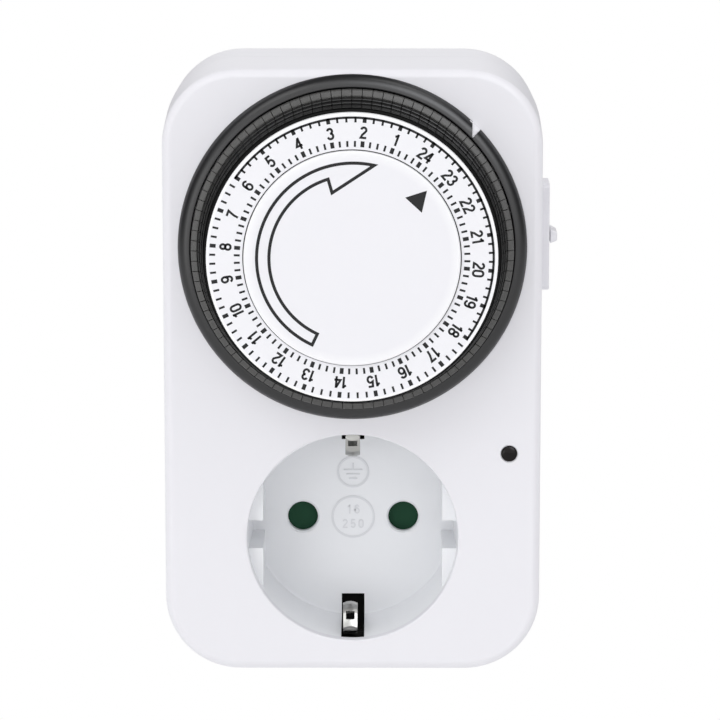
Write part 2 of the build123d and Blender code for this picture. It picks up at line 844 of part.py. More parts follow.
# ---- Rotating dial: drum, ring gear, scale disc
flange_back = -flange_sink - flange_thickness
with BuildPart() as dial_drum:
    with BuildSketch(radial_plane(0)):
        with BuildLine():
            Polyline(
                (post_radius + turn_fit, drum_proud),
                (post_radius + turn_fit, hub_front),
                (hub_radius, hub_front),
                (hub_radius, drum_proud - drum_plate),
                (drum_radius - drum_wall, drum_proud - drum_plate),
                (drum_radius - drum_wall, flange_back),
                (flange_radius, flange_back),
                (flange_radius, -flange_sink),
                (drum_radius, -flange_sink),
                (drum_radius, drum_proud),
                close=True,
            )
        make_face()
    revolve(axis=around(0, dial_z))
    slot_radius = (tab_foot_inner + tab_foot_outer) / 2
    slot_depth = tab_foot_outer - tab_foot_inner + 2 * fit_gap
    with BuildSketch(level(front_y - flange_back)):
        with Locations((0, dial_z)):
            with PolarLocations(slot_radius, tab_count, start_angle=90 - second_hour_angle):
                Rectangle(slot_depth, tab_foot_width + 2 * fit_gap)
    extrude(amount=flange_thickness, mode=Mode.SUBTRACT)
finish(dial_drum, "dial_drum")

with BuildPart() as drive_ring:
    with BuildSketch(level(ring_back_y)):
        with Locations((0, dial_z)):
            Circle(ring_outer - turn_fit)
            Polygon(
                *gear_points(
                    ring_teeth, ring_module, ring_tip, ring_root, gear_direction, -gear_backlash
                ),
                align=None,
                mode=Mode.SUBTRACT,
            )
    extrude(amount=ring_width)
finish(drive_ring, "drive_ring")

with BuildPart() as scale_disc:
    with BuildSketch(level(front_y - drum_proud)):
        with Locations((0, dial_z)):
            Circle(scale_radius)
            Circle(cap_radius + cap_side_gap, mode=Mode.SUBTRACT)
    extrude(amount=scale_thickness)
finish(scale_disc, "scale_disc")

# ---- Quarter-hour tabs, four to an hour, each sliding through the drum's flange
tab_low = tab_rest_gap - flange_sink
tab_ledge = tab_low + tab_ledge_height
tab_hook = tab_outer - tab_ledge_width
tab_top = drum_proud - tab_top_gap
tab_back = drum_radius + fit_gap
for hour in range(1, 25):
    first = second_hour_angle + (2 - hour) * tabs_per_hour * tab_pitch
    planes = [radial_plane(first - quarter * tab_pitch) for quarter in range(tabs_per_hour)]
    with BuildPart() as tabs:
        with BuildSketch(*planes):
            Polygon(
                (tab_back, tab_low),
                (tab_outer, tab_low),
                (tab_outer, tab_ledge - tab_ledge_edge),
                (tab_hook, tab_ledge),
                (tab_hook - tab_hook_width, tab_ledge - tab_hook_drop),
                (tab_back + tab_root, tab_step - tab_step_drop),
                (tab_back + tab_blade, tab_step),
                (tab_back + tab_tip, tab_top),
                (tab_back, tab_top),
                align=None,
            )
        extrude(amount=tab_width / 2, both=True)
        with BuildSketch(*planes):
            Polygon(
                (tab_foot_inner, -tab_foot_reach),
                (tab_foot_outer, -tab_foot_reach),
                (tab_foot_outer, tab_low),
                (tab_foot_inner, tab_low),
                align=None,
            )
        extrude(amount=tab_foot_width / 2, both=True)
    finish(tabs, f"tabs_hour_{hour:02d}")

# ---- Fixed post and centre cap
cap_back = drum_proud + cap_gap
post_top = cap_back
with BuildPart() as dial_post:
    with BuildSketch(level(plate_back_y)):
        with Locations((0, dial_z)):
            Circle(post_radius)
    extrude(amount=plate_back_y - front_y + post_top)
    with BuildSketch(level(plate_front_y)):
        with Locations((0, dial_z)):
            Circle(post_flange_radius)
    extrude(amount=post_flange_thickness)
    with BuildSketch(level(front_y - post_top)):
        with Locations((0, dial_z)):
            Circle(post_bore)
    extrude(amount=-post_bore_depth, mode=Mode.SUBTRACT)
finish(dial_post, "dial_post")

with BuildPart() as centre_cap:
    with BuildSketch(level(front_y - cap_back)):
        with Locations((0, dial_z)):
            Circle(cap_radius)
    extrude(amount=cap_thickness)
    chamfer(centre_cap.faces().sort_by(Axis.Y)[0].edges(), cap_chamfer)
    with BuildSketch(level(front_y - cap_back)):
        with Locations((0, dial_z)):
            Circle(post_bore - turn_fit)
    extrude(amount=-cap_peg_length)
finish(centre_cap, "centre_cap")

# ---- Mechanism plate, arbor and gears
notch_x = switch_body_x - switch_body_width / 2 - fit_gap
with BuildPart() as mechanism_plate:
    with BuildSketch(level(plate_back_y)):
        with Locations((0, dial_z)):
            RectangleRounded(plate_width, plate_height, plate_corner)
        with Locations((0, dial_z)):
            Circle(post_radius + turn_fit, mode=Mode.SUBTRACT)
        with Locations((gear_x, gear_z)):
            Circle(arbor_radius + turn_fit, mode=Mode.SUBTRACT)
        with Locations((motor_x, motor_z)):
            Circle(motor_pitch + motor_hole_gap, mode=Mode.SUBTRACT)
        with Locations(*plate_posts):
            Circle(rivet_radius + turn_fit, mode=Mode.SUBTRACT)
        with Locations((notch_x, lever_pivot_z - lever_notch_low)):
            Rectangle(
                body_width / 2,
                lever_length + lever_notch_low + lever_notch_high,
                align=(Align.MIN, Align.MIN),
                mode=Mode.SUBTRACT,
            )
    extrude(amount=plate_thickness)
finish(mechanism_plate, "mechanism_plate")

with BuildPart() as gear_arbor:
    with BuildSketch(level(plate_back_y)):
        with Locations((gear_x, gear_z)):
            Circle(arbor_radius)
    extrude(amount=plate_back_y - ring_back_y + ring_width + arbor_head_thickness)
    with BuildSketch(level(ring_back_y - ring_width)):
        with Locations((gear_x, gear_z)):
            Circle(arbor_head_radius)
    extrude(amount=arbor_head_thickness)
finish(gear_arbor, "gear_arbor")

pinion_inner = ring_pinion_pitch - tooth_root * ring_module
pinion_outer = ring_pinion_pitch + tooth_tip * ring_module
with BuildPart() as reduction_gear:
    with BuildSketch(level(wheel_back_y)):
        with Locations((gear_x, gear_z)):
            Polygon(
                *gear_points(
                    wheel_teeth,
                    wheel_module,
                    wheel_pitch - tooth_root * wheel_module,
                    wheel_pitch + tooth_tip * wheel_module,
                    motor_direction,
                    gear_backlash / 2,
                ),
                align=None,
            )
    extrude(amount=wheel_width)
    with BuildSketch(level(wheel_front_y)):
        with Locations((gear_x, gear_z)):
            Circle(pinion_inner)
    extrude(amount=wheel_front_y - ring_back_y + pinion_end_gap)
    with BuildSketch(level(ring_back_y - pinion_end_gap)):
        with Locations((gear_x, gear_z)):
            Polygon(
                *gear_points(
                    ring_pinion_teeth,
                    ring_module,
                    pinion_inner,
                    pinion_outer,
                    gear_direction,
                    gear_backlash / 2,
                ),
                align=None,
            )
    extrude(amount=ring_width - 2 * pinion_end_gap)
    with BuildSketch(level(wheel_back_y)):
        with Locations((gear_x, gear_z)):
            Circle(arbor_radius + turn_fit)
    extrude(amount=body_depth, mode=Mode.SUBTRACT)
finish(reduction_gear, "reduction_gear")

# ---- Motor
motor_phase = motor_direction + 180 + 180 / motor_teeth
with BuildPart() as motor_pinion:
    with BuildSketch(level(wheel_back_y + pinion_end_gap)):
        with Locations((motor_x, motor_z)):
            Polygon(
                *gear_points(
                    motor_teeth,
                    wheel_module,
                    motor_pitch - tooth_root * wheel_module,
                    motor_pitch + tooth_tip * wheel_module,
                    motor_phase,
                    gear_backlash / 2,
                ),
                align=None,
            )
    extrude(amount=wheel_width + 2 * pinion_end_gap)
    with BuildSketch(level(wheel_back_y + pinion_end_gap)):
        with Locations((motor_x, motor_z)):
            Circle(motor_shaft_radius)
    extrude(amount=-(plate_thickness + motor_shaft_depth))
finish(motor_pinion, "motor_pinion")

with BuildPart() as motor_can:
    with BuildSketch(level(plate_back_y + motor_depth)):
        with Locations((motor_x, motor_z)):
            Circle(motor_radius)
    extrude(amount=motor_depth)
    chamfer(motor_can.faces().sort_by(Axis.Y)[-1].edges(), motor_chamfer)
    with BuildSketch(level(plate_back_y)):
        with Locations((motor_x, motor_z)):
            Circle(motor_shaft_radius + turn_fit)
    extrude(amount=-motor_bore_depth, mode=Mode.SUBTRACT)
finish(motor_can, "motor_can")

# ---- Microswitch, plunger and trip lever
lever_y = front_y + lever_sink + lever_thickness / 2
ear_inner = lever_width / 2 + lever_side_gap
ear_back_y = plate_back_y + lever_ear_root
with BuildPart() as microswitch_body:
    with BuildSketch(level(plate_back_y + switch_body_depth)):
        with Locations((switch_body_x, switch_body_z)):
            Rectangle(switch_body_width, switch_body_height)
    extrude(amount=switch_body_depth)
    chamfer(microswitch_body.edges().filter_by(Axis.Y), switch_chamfer)
    with BuildSketch(Plane.YZ.offset(switch_body_x - switch_body_width / 2)):
        with Locations((lever_y, lever_pivot_z)):
            Circle(lever_ear_radius)
        with Locations(((lever_y + ear_back_y) / 2, lever_pivot_z)):
            Rectangle(ear_back_y - lever_y, 2 * lever_ear_radius)
    extrude(amount=switch_body_width)
    with BuildSketch(Plane.YZ.offset(switch_body_x - ear_inner)):
        with Locations((plate_back_y, lever_pivot_z)):
            Rectangle(
                plate_back_y - lever_y + 2 * lever_ear_radius,
                4 * lever_ear_radius,
                align=(Align.MAX, Align.CENTER),
            )
    extrude(amount=2 * ear_inner, mode=Mode.SUBTRACT)
    with BuildSketch(Plane.YZ.offset(switch_body_x - switch_body_width / 2)):
        with Locations((lever_y, lever_pivot_z)):
            Circle(lever_pivot_radius + turn_fit)
    extrude(amount=switch_body_width, mode=Mode.SUBTRACT)
    with BuildSketch(level(plate_back_y)):
        with Locations((switch_body_x, plunger_z)):
            Circle(plunger_radius + fit_gap)
    extrude(amount=-plunger_bore_depth, mode=Mode.SUBTRACT)
    blade_y = plate_back_y + switch_body_depth
    for blade_z, end_y in (
        (common_blade_z, feed_y - bar_thickness / 2),
        (open_blade_z, switched_y - bar_thickness / 2),
    ):
        with BuildSketch(level(end_y)):
            with Locations((switch_body_x, blade_z)):
                Rectangle(blade_width, bar_thickness)
        extrude(amount=end_y - blade_y + blade_root)
finish(microswitch_body, "microswitch_body")

plunger_front_y = lever_back_y + turn_fit
with BuildPart() as microswitch_plunger:
    with BuildSketch(level(plunger_front_y)):
        with Locations((switch_body_x, plunger_z)):
            Circle(plunger_radius)
    extrude(amount=-(plate_back_y - plunger_front_y + plunger_inside))
    chamfer(microswitch_plunger.faces().sort_by(Axis.Y)[0].edges(), plunger_chamfer)
finish(microswitch_plunger, "microswitch_plunger")

with BuildPart() as trip_lever:
    with BuildSketch(Plane.YZ.offset(switch_body_x - lever_width / 2)):
        with BuildLine():
            lever_path = Polyline(
                (lever_y, lever_pivot_z),
                (lever_y, lever_nose_z - lever_nose),
                (lever_y - lever_nose, lever_nose_z),
                (lever_y, lever_nose_z + lever_nose),
            )
        trace(lever_path, lever_thickness)
        with Locations((lever_y, lever_pivot_z)):
            Circle(lever_hub_radius)
    extrude(amount=lever_width)
    with BuildSketch(Plane.YZ.offset(switch_body_x - switch_body_width / 2 + lever_end_gap)):
        with Locations((lever_y, lever_pivot_z)):
            Circle(lever_pivot_radius)
    extrude(amount=switch_body_width - 2 * lever_end_gap)
finish(trip_lever, "trip_lever")

# ---- Side switch
frame_out = slide_seat_depth + slide_frame_proud
frame_x = seat_x + frame_out
with BuildPart() as switch_frame:
    with BuildSketch(Plane.YZ.offset(seat_x)):
        with Locations((slide_y, slide_z)):
            RectangleRounded(slide_frame_width, slide_frame_height, slide_frame_corner)
    extrude(amount=frame_out)
    fillet(switch_frame.faces().sort_by(Axis.X)[-1].edges(), slide_frame_round)
    with BuildSketch(Plane.YZ.offset(seat_x)):
        with Locations((slide_y, slide_z)):
            Rectangle(window_width - fit_gap, window_height - fit_gap)
    extrude(amount=-(wall - slide_seat_depth))
    with BuildSketch(Plane.YZ.offset(frame_x)):
        with Locations((slide_y, slide_z)):
            Rectangle(stem_width + 2 * fit_gap, stem_height + 2 * slide_travel + 4 * fit_gap)
    extrude(amount=-(frame_out + wall), mode=Mode.SUBTRACT)
finish(switch_frame, "switch_frame")

foot_x = seat_x + slide_seat_depth - wall - knob_gap
knob_back_x = frame_x + knob_gap
knob_low_z = slide_z - knob_height / 2
knob_high_z = slide_z + knob_height / 2
with BuildPart() as switch_knob:
    with BuildSketch(Plane.YZ.offset(foot_x)):
        with Locations((slide_y, slide_z)):
            Rectangle(stem_width, stem_height)
    extrude(amount=knob_back_x - foot_x)
    with BuildSketch(Plane.YZ.offset(foot_x)):
        with Locations((slide_y, slide_z)):
            Rectangle(stem_width + 2 * knob_foot_lip, stem_height + 2 * knob_foot_height)
    extrude(amount=-knob_foot_thickness)
    with BuildSketch(Plane.XZ.offset(-slide_y - knob_width / 2)):
        Polygon(
            (knob_back_x, knob_low_z),
            (frame_x + knob_proud, knob_low_z + knob_low_slope),
            (frame_x + knob_proud, knob_high_z - knob_high_slope),
            (knob_back_x, knob_high_z),
            align=None,
        )
    extrude(amount=knob_width)
finish(switch_knob, "switch_knob")
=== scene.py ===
"""The looks of the plug-in timer switch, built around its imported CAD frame.

Every piece is modelled in millimetres on a bench, where the timer lies on its back:
X to the right, Y up the case, Z towards the front, and the origin midway between the
plug pins on the nose's end face. finish_piece() then scales it and stands it up.
"""

from math import cos, pi, radians, sin, tan
from operator import mul

import bmesh
import bpy
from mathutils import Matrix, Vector


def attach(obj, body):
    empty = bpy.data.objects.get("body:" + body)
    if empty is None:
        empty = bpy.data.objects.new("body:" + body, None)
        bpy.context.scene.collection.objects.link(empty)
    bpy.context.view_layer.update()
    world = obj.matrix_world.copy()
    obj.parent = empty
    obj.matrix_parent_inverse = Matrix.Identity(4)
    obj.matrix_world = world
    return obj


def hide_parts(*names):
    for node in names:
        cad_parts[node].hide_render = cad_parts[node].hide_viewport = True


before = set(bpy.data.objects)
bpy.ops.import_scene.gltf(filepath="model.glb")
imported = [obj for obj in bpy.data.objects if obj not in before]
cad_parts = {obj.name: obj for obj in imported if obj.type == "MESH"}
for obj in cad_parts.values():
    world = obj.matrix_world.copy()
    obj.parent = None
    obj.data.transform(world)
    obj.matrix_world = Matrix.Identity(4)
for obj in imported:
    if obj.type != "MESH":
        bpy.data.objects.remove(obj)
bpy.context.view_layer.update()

MM = 0.001

# ---- Sizes in millimetres, as in the part's source. NEAR is how close to a height a
# corner counts as on it, and FIT is the gap between pieces that fit each other.
NEAR = 0.01
FIT = 0.05
WIDTH, HEIGHT = 70.0, 113.0
CASE_Y = 31.0
CORNER = 14.0
REAR, SPLIT, FACE = 17.0, 34.0, 52.0
WALL = 2.0
DRAFT = tan(radians(1.0))
FRONT_EDGE, REAR_EDGE, PARTING_EDGE = 1.6, 2.0, 0.35
DIAL_Y = 54.5
BEZEL_R, BEZEL_LIP, BEZEL_UP = 31.9, 29.6, 1.8
COLLAR_R = 30.7
NOTCH_TIP, NOTCH_LEFT, NOTCH_RIGHT = 46.9, 41.9, 46.9
POINTER_UP, POINTER_FALL = 1.6, 1.0
POST_R, HUB_R, HUB_UP = 3.05, 5.5, 2.0
DRUM_R, DRUM_UP, RIM_UP = 26.8, 10.9, 9.9
FLANGE_R, FLANGE_TOP, FLANGE_LOW = 29.2, -1.2, -3.6
SCALE_R, SCALE_LOW, SCALE_UP = 26.3, 9.95, 11.5
CAP_R, CAP_LOW, CAP_UP = 19.55, 11.15, 12.25
CAP_GAP = 0.2
HOURS, QUARTERS = 24, 4
TABS = HOURS * QUARTERS
TAB_PITCH, TAB_GAP = 3.75, 0.1
HOUR_PITCH = QUARTERS * TAB_PITCH
SECOND_HOUR, PRINTED_HOUR = 5.5, 5.2
RECESS_R, FLOOR_R, RECESS_DEEP = 19.5, 18.9, 17.5
FLOOR = FACE - RECESS_DEEP
CUP_R, CUP_TOP, FLOOR_THICK = 21.3, 50.0, 1.5
FLAT_HALF, GUIDE_WIDE = 16.65, 5.3
EARTH_WIDE, EARTH_DEEP, EARTH_INNER = 4.3, 7.3, 15.0
PIVOT_R = 1.8
PIN_X, PIN_R, PIN_LONG = 9.5, 2.4, 19.0
NECK_R, NECK_GAP = 2.2, 0.2
HOLE_R = 2.85
LENS_X, LENS_Y, LENS_R = 28.9, 16.0, 1.45
SLIDE_Y, SLIDE_Z = 55.6, 42.5
SEAT_X = WIDTH / 2 - (SLIDE_Z - SPLIT) * DRAFT - 0.6
FRAME_WIDE, FRAME_TALL, FRAME_UP, FRAME_ROUND = 8.4, 19.8, 1.95, 0.9
NOSE_R, NOSE_HALF = 18.6, 16.3
SCREW_X, SCREW_Y, SCREW_SINK = 27.0, 48.5, 5.0
SCREWS = [(x, CASE_Y + y) for x in (-SCREW_X, SCREW_X) for y in (-SCREW_Y, SCREW_Y)]


# ---- Bench tools
def pick_object(piece):
    """Selects one object and nothing else."""
    bpy.ops.object.select_all(action="DESELECT")
    piece.select_set(True)
    bpy.context.view_layer.objects.active = piece


def edit(piece, kind="VERT"):
    """Opens a piece in edit mode with nothing selected."""
    pick_object(piece)
    bpy.ops.object.mode_set(mode="EDIT")
    bpy.ops.mesh.select_mode(type=kind)
    bpy.ops.mesh.select_all(action="DESELECT")


def close():
    """Leaves edit mode."""
    bpy.ops.object.mode_set(mode="OBJECT")


def pick_all():
    """In edit mode, selects the whole piece."""
    bpy.ops.mesh.select_all(action="SELECT")


def face_out():
    """In edit mode, turns every face outwards and closes the piece."""
    pick_all()
    bpy.ops.mesh.normals_make_consistent(inside=False)
    close()


def pick(piece, kind, wanted):
    """In edit mode, selects the vertices, edges or faces whose vertices all pass a test."""
    bpy.ops.mesh.select_mode(type=kind)
    bpy.ops.mesh.select_all(action="DESELECT")
    mesh = bmesh.from_edit_mesh(piece.data)
    parts = {"VERT": mesh.verts, "EDGE": mesh.edges, "FACE": mesh.faces}[kind]
    for part in parts:
        corners = [part] if kind == "VERT" else part.verts
        if all(wanted(corner.co) for corner in corners):
            part.select = True
    mesh.select_flush_mode()
    bmesh.update_edit_mesh(piece.data)


def named(name):
    """Names the active object and its mesh."""
    piece = bpy.context.object
    piece.name = name
    piece.data.name = name
    return piece


def apply_place(piece):
    """Writes an object's place, turn and scale into its mesh."""
    pick_object(piece)
    bpy.ops.object.transform_apply(location=True, rotation=True, scale=True)


def modify(piece, kind, **settings):
    """Adds a modifier and applies it."""
    modifier = piece.modifiers.new(kind, kind)
    for setting, value in settings.items():
        setattr(modifier, setting, value)
    pick_object(piece)
    bpy.ops.object.modifier_apply(modifier=modifier.name)


def cut(piece, *tools, how="DIFFERENCE"):
    """Cuts a piece with tools, or joins them to it, and clears the tools away."""
    for tool in tools:
        modify(piece, "BOOLEAN", operation=how, solver="EXACT", object=tool)
        bpy.data.objects.remove(tool)


def soften(piece, width, segments=2, angle=30):
    """Rounds the sharp edges."""
    modify(
        piece,
        "BEVEL",
        width=width,
        segments=segments,
        limit_method="ANGLE",
        angle_limit=radians(angle),
        use_clamp_overlap=True,
        miter_outer="MITER_ARC",
    )


def block(name, size, centre, corner=0.0, segments=8):
    """A box, with the edges along Z rounded if a corner radius is given."""
    bpy.ops.mesh.primitive_cube_add(size=1, location=centre, scale=size)
    piece = named(name)
    apply_place(piece)
    if corner:
        edit(piece)
        bpy.ops.mesh.select_mode(type="EDGE")
        mesh = bmesh.from_edit_mesh(piece.data)
        for line in mesh.edges:
            start, end = line.verts[0].co, line.verts[1].co
            line.select = abs(start.z - end.z) > 0.9 * size[2]
        bmesh.update_edit_mesh(piece.data)
        bpy.ops.mesh.bevel(offset=corner, offset_type="OFFSET", segments=segments, affect="EDGES")
        close()
    return piece


def rod(name, radius, low, high, at=(0.0, 0.0), sides=96):
    """A round bar along Z."""
    bpy.ops.mesh.primitive_cylinder_add(
        vertices=sides,
        radius=radius,
        depth=high - low,
        location=(at[0], at[1], (low + high) / 2),
    )
    piece = named(name)
    apply_place(piece)
    return piece


def drawn(name, points):
    """A line of vertices through points, left selected in edit mode."""
    bpy.ops.mesh.primitive_plane_add(size=1)
    piece = named(name)
    edit(piece)
    pick_all()
    bpy.ops.mesh.merge(type="CENTER")
    here = Vector(points[0])
    bpy.ops.transform.translate(value=here)
    for point in points[1:]:
        raise_by(Vector(point) - here)
        here = Vector(point)
    return piece


def close_line():
    """In edit mode, joins the ends of a selected line."""
    bpy.ops.mesh.edge_face_add()
    bpy.ops.mesh.delete(type="ONLY_FACE")
    pick_all()


def raise_by(move):
    """In edit mode, draws what is selected out by a move."""
    bpy.ops.mesh.extrude_region_move(TRANSFORM_OT_translate={"value": move})


def turned(name, profile, at=(0.0, 0.0), steps=192, closed=True):
    """A profile of (radius, height) points spun about the Z axis at a place."""
    points = [(at[0] + radius, at[1], height) for radius, height in profile]
    piece = drawn(name, points)
    pick_all()
    if closed:
        close_line()
    bpy.ops.mesh.spin(
        steps=steps, angle=2 * pi, center=(at[0], at[1], 0), axis=(0, 0, 1), dupli=False
    )
    pick_all()
    bpy.ops.mesh.remove_doubles(threshold=0.0005)
    face_out()
    return piece


def slab(name, points, move):
    """A flat outline of points drawn out by a move."""
    piece = drawn(name, points)
    pick_all()
    bpy.ops.mesh.edge_face_add()
    pick_all()
    raise_by(move)
    face_out()
    return piece


def plate(name, outline, low, high):
    """A flat outline of (x, y) points raised from one height to another."""
    return slab(name, [(x, y, low) for x, y in outline], (0, 0, high - low))


def raised(profile):
    """A dial profile of (radius, height above the front face) on the bench."""
    return [(radius, FACE + height) for radius, height in profile]


def copy_of(piece, turn=0.0, at=(0.0, 0.0), shift=(0.0, 0.0, 0.0)):
    """A copy with its own mesh, turned clockwise about a Z axis and shifted."""
    twin = piece.copy()
    twin.data = piece.data.copy()
    bpy.context.collection.objects.link(twin)
    angle = -radians(turn)
    x, y = at
    twin.rotation_euler = (0, 0, angle)
    twin.location = (
        x - x * cos(angle) + y * sin(angle) + shift[0],
        y - x * sin(angle) - y * cos(angle) + shift[1],
        shift[2],
    )
    apply_place(twin)
    return twin


def joined(name, pieces):
    """Several objects made one."""
    bpy.ops.object.select_all(action="DESELECT")
    for piece in pieces:
        piece.select_set(True)
    bpy.context.view_layer.objects.active = pieces[0]
    if len(pieces) > 1:
        bpy.ops.object.join()
    return named(name)


def mirrored(piece):
    """A copy mirrored top to bottom, turned right side out."""
    twin = copy_of(piece)
    twin.scale = (1, -1, 1)
    apply_place(twin)
    edit(twin)
    face_out()
    return twin


def polar(radius, angle, centre=(0.0, DIAL_Y)):
    """The point at a clockwise angle from the top."""
    turn = radians(angle)
    return (centre[0] + radius * sin(turn), centre[1] + radius * cos(turn))


def eased(start, knee, end, count=8):
    """Points on a smooth curve from start to end that leans towards the knee."""
    points = []
    for t in [step / count for step in range(count + 1)]:
        shares = ((1 - t) ** 2, 2 * t * (1 - t), t**2)
        points.append(tuple(sum(map(mul, shares, axis)) for axis in zip(start, knee, end)))
    return points


def finish_piece(piece, body, finish, nodes=(), angle=35):
    """Shades a piece, stands it up in metres, ties it to its body and hides the nodes it stands
    for.
    """
    pick_object(piece)
    bpy.ops.object.shade_smooth_by_angle(angle=radians(angle))
    modify(piece, "WEIGHTED_NORMAL", keep_sharp=True, weight=80)
    piece.scale = (MM, MM, MM)
    piece.rotation_euler = (pi / 2, 0, 0)
    apply_place(piece)
    piece.data.materials.clear()
    piece.data.materials.append(finish)
    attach(piece, body)
    if nodes:
        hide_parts(*nodes)
    return piece


# ---- Finishes
class Signal:
    """A value on its way through the shader, with arithmetic that adds nodes."""

    def __init__(self, finish, socket):
        self.finish = finish
        self.socket = socket

    def reckon(self, operation, first, second):
        return self.finish.node("ShaderNodeMath", {"operation": operation}, {0: first, 1: second})

    def __add__(self, other):
        return self.reckon("ADD", self, other)

    def __mul__(self, other):
        return self.reckon("MULTIPLY", self, other)


class Finish:
    """A procedural material on object coordinates."""

    def __init__(self, name, colour, roughness, metallic=0.0, coat=0.0, gloss=0.5):
        self.material = bpy.data.materials.new(name)
        self.material.use_nodes = True
        self.nodes = self.material.node_tree.nodes
        self.links = self.material.node_tree.links
        self.shader = self.nodes["Principled BSDF"]
        self.shader.inputs["Base Color"].default_value = (*colour, 1)
        self.shader.inputs["Roughness"].default_value = roughness
        self.shader.inputs["Metallic"].default_value = metallic
        self.shader.inputs["Coat Weight"].default_value = coat
        self.shader.inputs["Specular IOR Level"].default_value = gloss
        self.place = self.node("ShaderNodeTexCoord", {}, {}, "Object")
        self.material.diffuse_color = (*colour, 1)

    def node(self, kind, settings, inputs, output=0):
        """Adds a node: its settings first, then the values or links of its sockets."""
        made = self.nodes.new(kind)
        for setting, value in settings.items():
            if setting == "stops":
                ramp = made.color_ramp
                while len(ramp.elements) < len(value):
                    ramp.elements.new(0.5)
                for stop, (position, colour) in zip(ramp.elements, value):
                    stop.position = position
                    stop.color = colour
            else:
                setattr(made, setting, value)
        for socket, value in inputs.items():
            if isinstance(value, Signal):
                self.links.new(value.socket, made.inputs[socket])
            else:
                made.inputs[socket].default_value = value
        return Signal(self, made.outputs[output])

    def noise(self, scale, detail=3.0, roughness=0.5, stretch=None):
        """Noise of a scale in cells for each metre, from 0 to 1."""
        place = self.place
        if stretch:
            place = self.node("ShaderNodeMapping", {}, {"Vector": place, "Scale": stretch})
        return self.node(
            "ShaderNodeTexNoise",
            {},
            {"Vector": place, "Scale": scale, "Detail": detail, "Roughness": roughness},
            "Fac",
        )

    def wire(self, socket, signal):
        """Links a signal to a socket of the shader."""
        self.links.new(signal.socket, self.shader.inputs[socket])

    def tint(self, amount, first, second):
        """Base colour between two colours, by an amount from 0 to 1."""
        mixed = self.node(
            "ShaderNodeMix",
            {"data_type": "RGBA"},
            {0: amount, 6: (*first, 1), 7: (*second, 1)},
            2,
        )
        self.wire("Base Color", mixed)

    def rough(self, amount, low, high):
        """Roughness between two values, by an amount from 0 to 1."""
        self.wire("Roughness", amount * (high - low) + low)

    def grain(self, height, depth):
        """Bump from a height signal, with its depth in metres."""
        bump = self.node(
            "ShaderNodeBump", {}, {"Strength": 1.0, "Distance": depth, "Height": height}, "Normal"
        )
        self.wire("Normal", bump)


FINE_GRAIN = 2600
FINE_DEPTH, COARSE_DEPTH = 0.000005, 0.000006


def moulded(name, colour, darker, rough, grain_scale=FINE_GRAIN, gloss=0.5):
    """Moulded plastic: a fine spark-eroded grain and a faint uneven gloss."""
    finish = Finish(name, colour, sum(rough) / 2, gloss=gloss)
    cloud = finish.noise(45, 2)
    fine = finish.noise(grain_scale, 2)
    finish.tint(cloud * 0.6 + fine * 0.4, colour, darker)
    finish.rough(cloud * 0.5 + fine * 0.5, *rough)
    finish.grain(fine, COARSE_DEPTH)
    return finish.material


def ringed(name, colour, ring_colour, ring_start, ring_full, rough):
    """White plastic that grows brighter between two radii from the dial's axis."""
    finish = Finish(name, colour, sum(rough) / 2)
    flat = finish.node(
        "ShaderNodeVectorMath", {"operation": "MULTIPLY_ADD"},
        {0: finish.place, 1: (1, 0, 1), 2: (0, 0, -MM * DIAL_Y)},
    )
    radius = finish.node("ShaderNodeVectorMath", {"operation": "LENGTH"}, {0: flat}, "Value")
    beyond = finish.node(
        "ShaderNodeMapRange", {},
        {"Value": radius, "From Min": MM * ring_start, "From Max": MM * ring_full},
    )
    finish.tint(beyond, colour, ring_colour)
    fine = finish.noise(FINE_GRAIN, 2)
    finish.rough(fine, *rough)
    finish.grain(fine, FINE_DEPTH)
    return finish.material


def stepped(name, colour, painted_lit_colour, height, rough):
    """Black plastic, painted paler below a height above the front face: a painted highlight on the
    tabs' lower band.
    """
    finish = Finish(name, colour, sum(rough) / 2)
    depth = finish.node("ShaderNodeSeparateXYZ", {}, {"Vector": finish.place}, "Y")
    edge = -MM * (FACE + height)
    blur = 0.1 * MM
    # Mask of the painted highlight: 1 below the height, 0 above it.
    below = finish.node(
        "ShaderNodeMapRange", {}, {"Value": depth, "From Min": edge - blur, "From Max": edge}
    )
    fine = finish.noise(1400, 3)
    finish.tint(below * (fine * 0.8 + 0.6), colour, painted_lit_colour)
    finish.rough(fine, *rough)
    finish.grain(fine, COARSE_DEPTH)
    return finish.material


def drawn_metal(name, colour, darker, rough, stretch):
    """Metal with fine lines along the way it was drawn or rolled."""
    finish = Finish(name, colour, sum(rough) / 2, metallic=1.0)
    lines = finish.noise(900, 4, 0.6, stretch)
    cloud = finish.noise(160, 3)
    finish.tint(cloud * 0.7 + lines * 0.3, colour, darker)
    finish.rough(lines * 0.6 + cloud * 0.4, *rough)
    finish.grain(lines, 0.000003)
    return finish.material


white = moulded("white_moulded", (0.795, 0.790, 0.825), (0.782, 0.777, 0.812), (0.40, 0.50))
cup_white = moulded("recess_moulded", (0.86, 0.87, 0.89), (0.845, 0.855, 0.877), (0.28, 0.38))
# The raised signs take a darker white than the recess: painted shade for their raised edges.
signs_shaded_white = moulded("sign_painted_shade", (0.74, 0.75, 0.775), (0.725, 0.735, 0.76), (0.28, 0.38))
black = moulded(
    "black_moulded", (0.008, 0.008, 0.009), (0.012, 0.012, 0.013), (0.26, 0.38), gloss=0.6
)
# The paler band low on the tabs is a painted highlight.
tab_black = stepped("tab_moulded", (0.008, 0.008, 0.008), (0.078, 0.077, 0.075), 3.6, (0.34, 0.5))
disc_white = ringed(
    "scale_white", (0.840, 0.838, 0.868), (0.925, 0.925, 0.935), 25.72, 25.97, (0.36, 0.46)
)
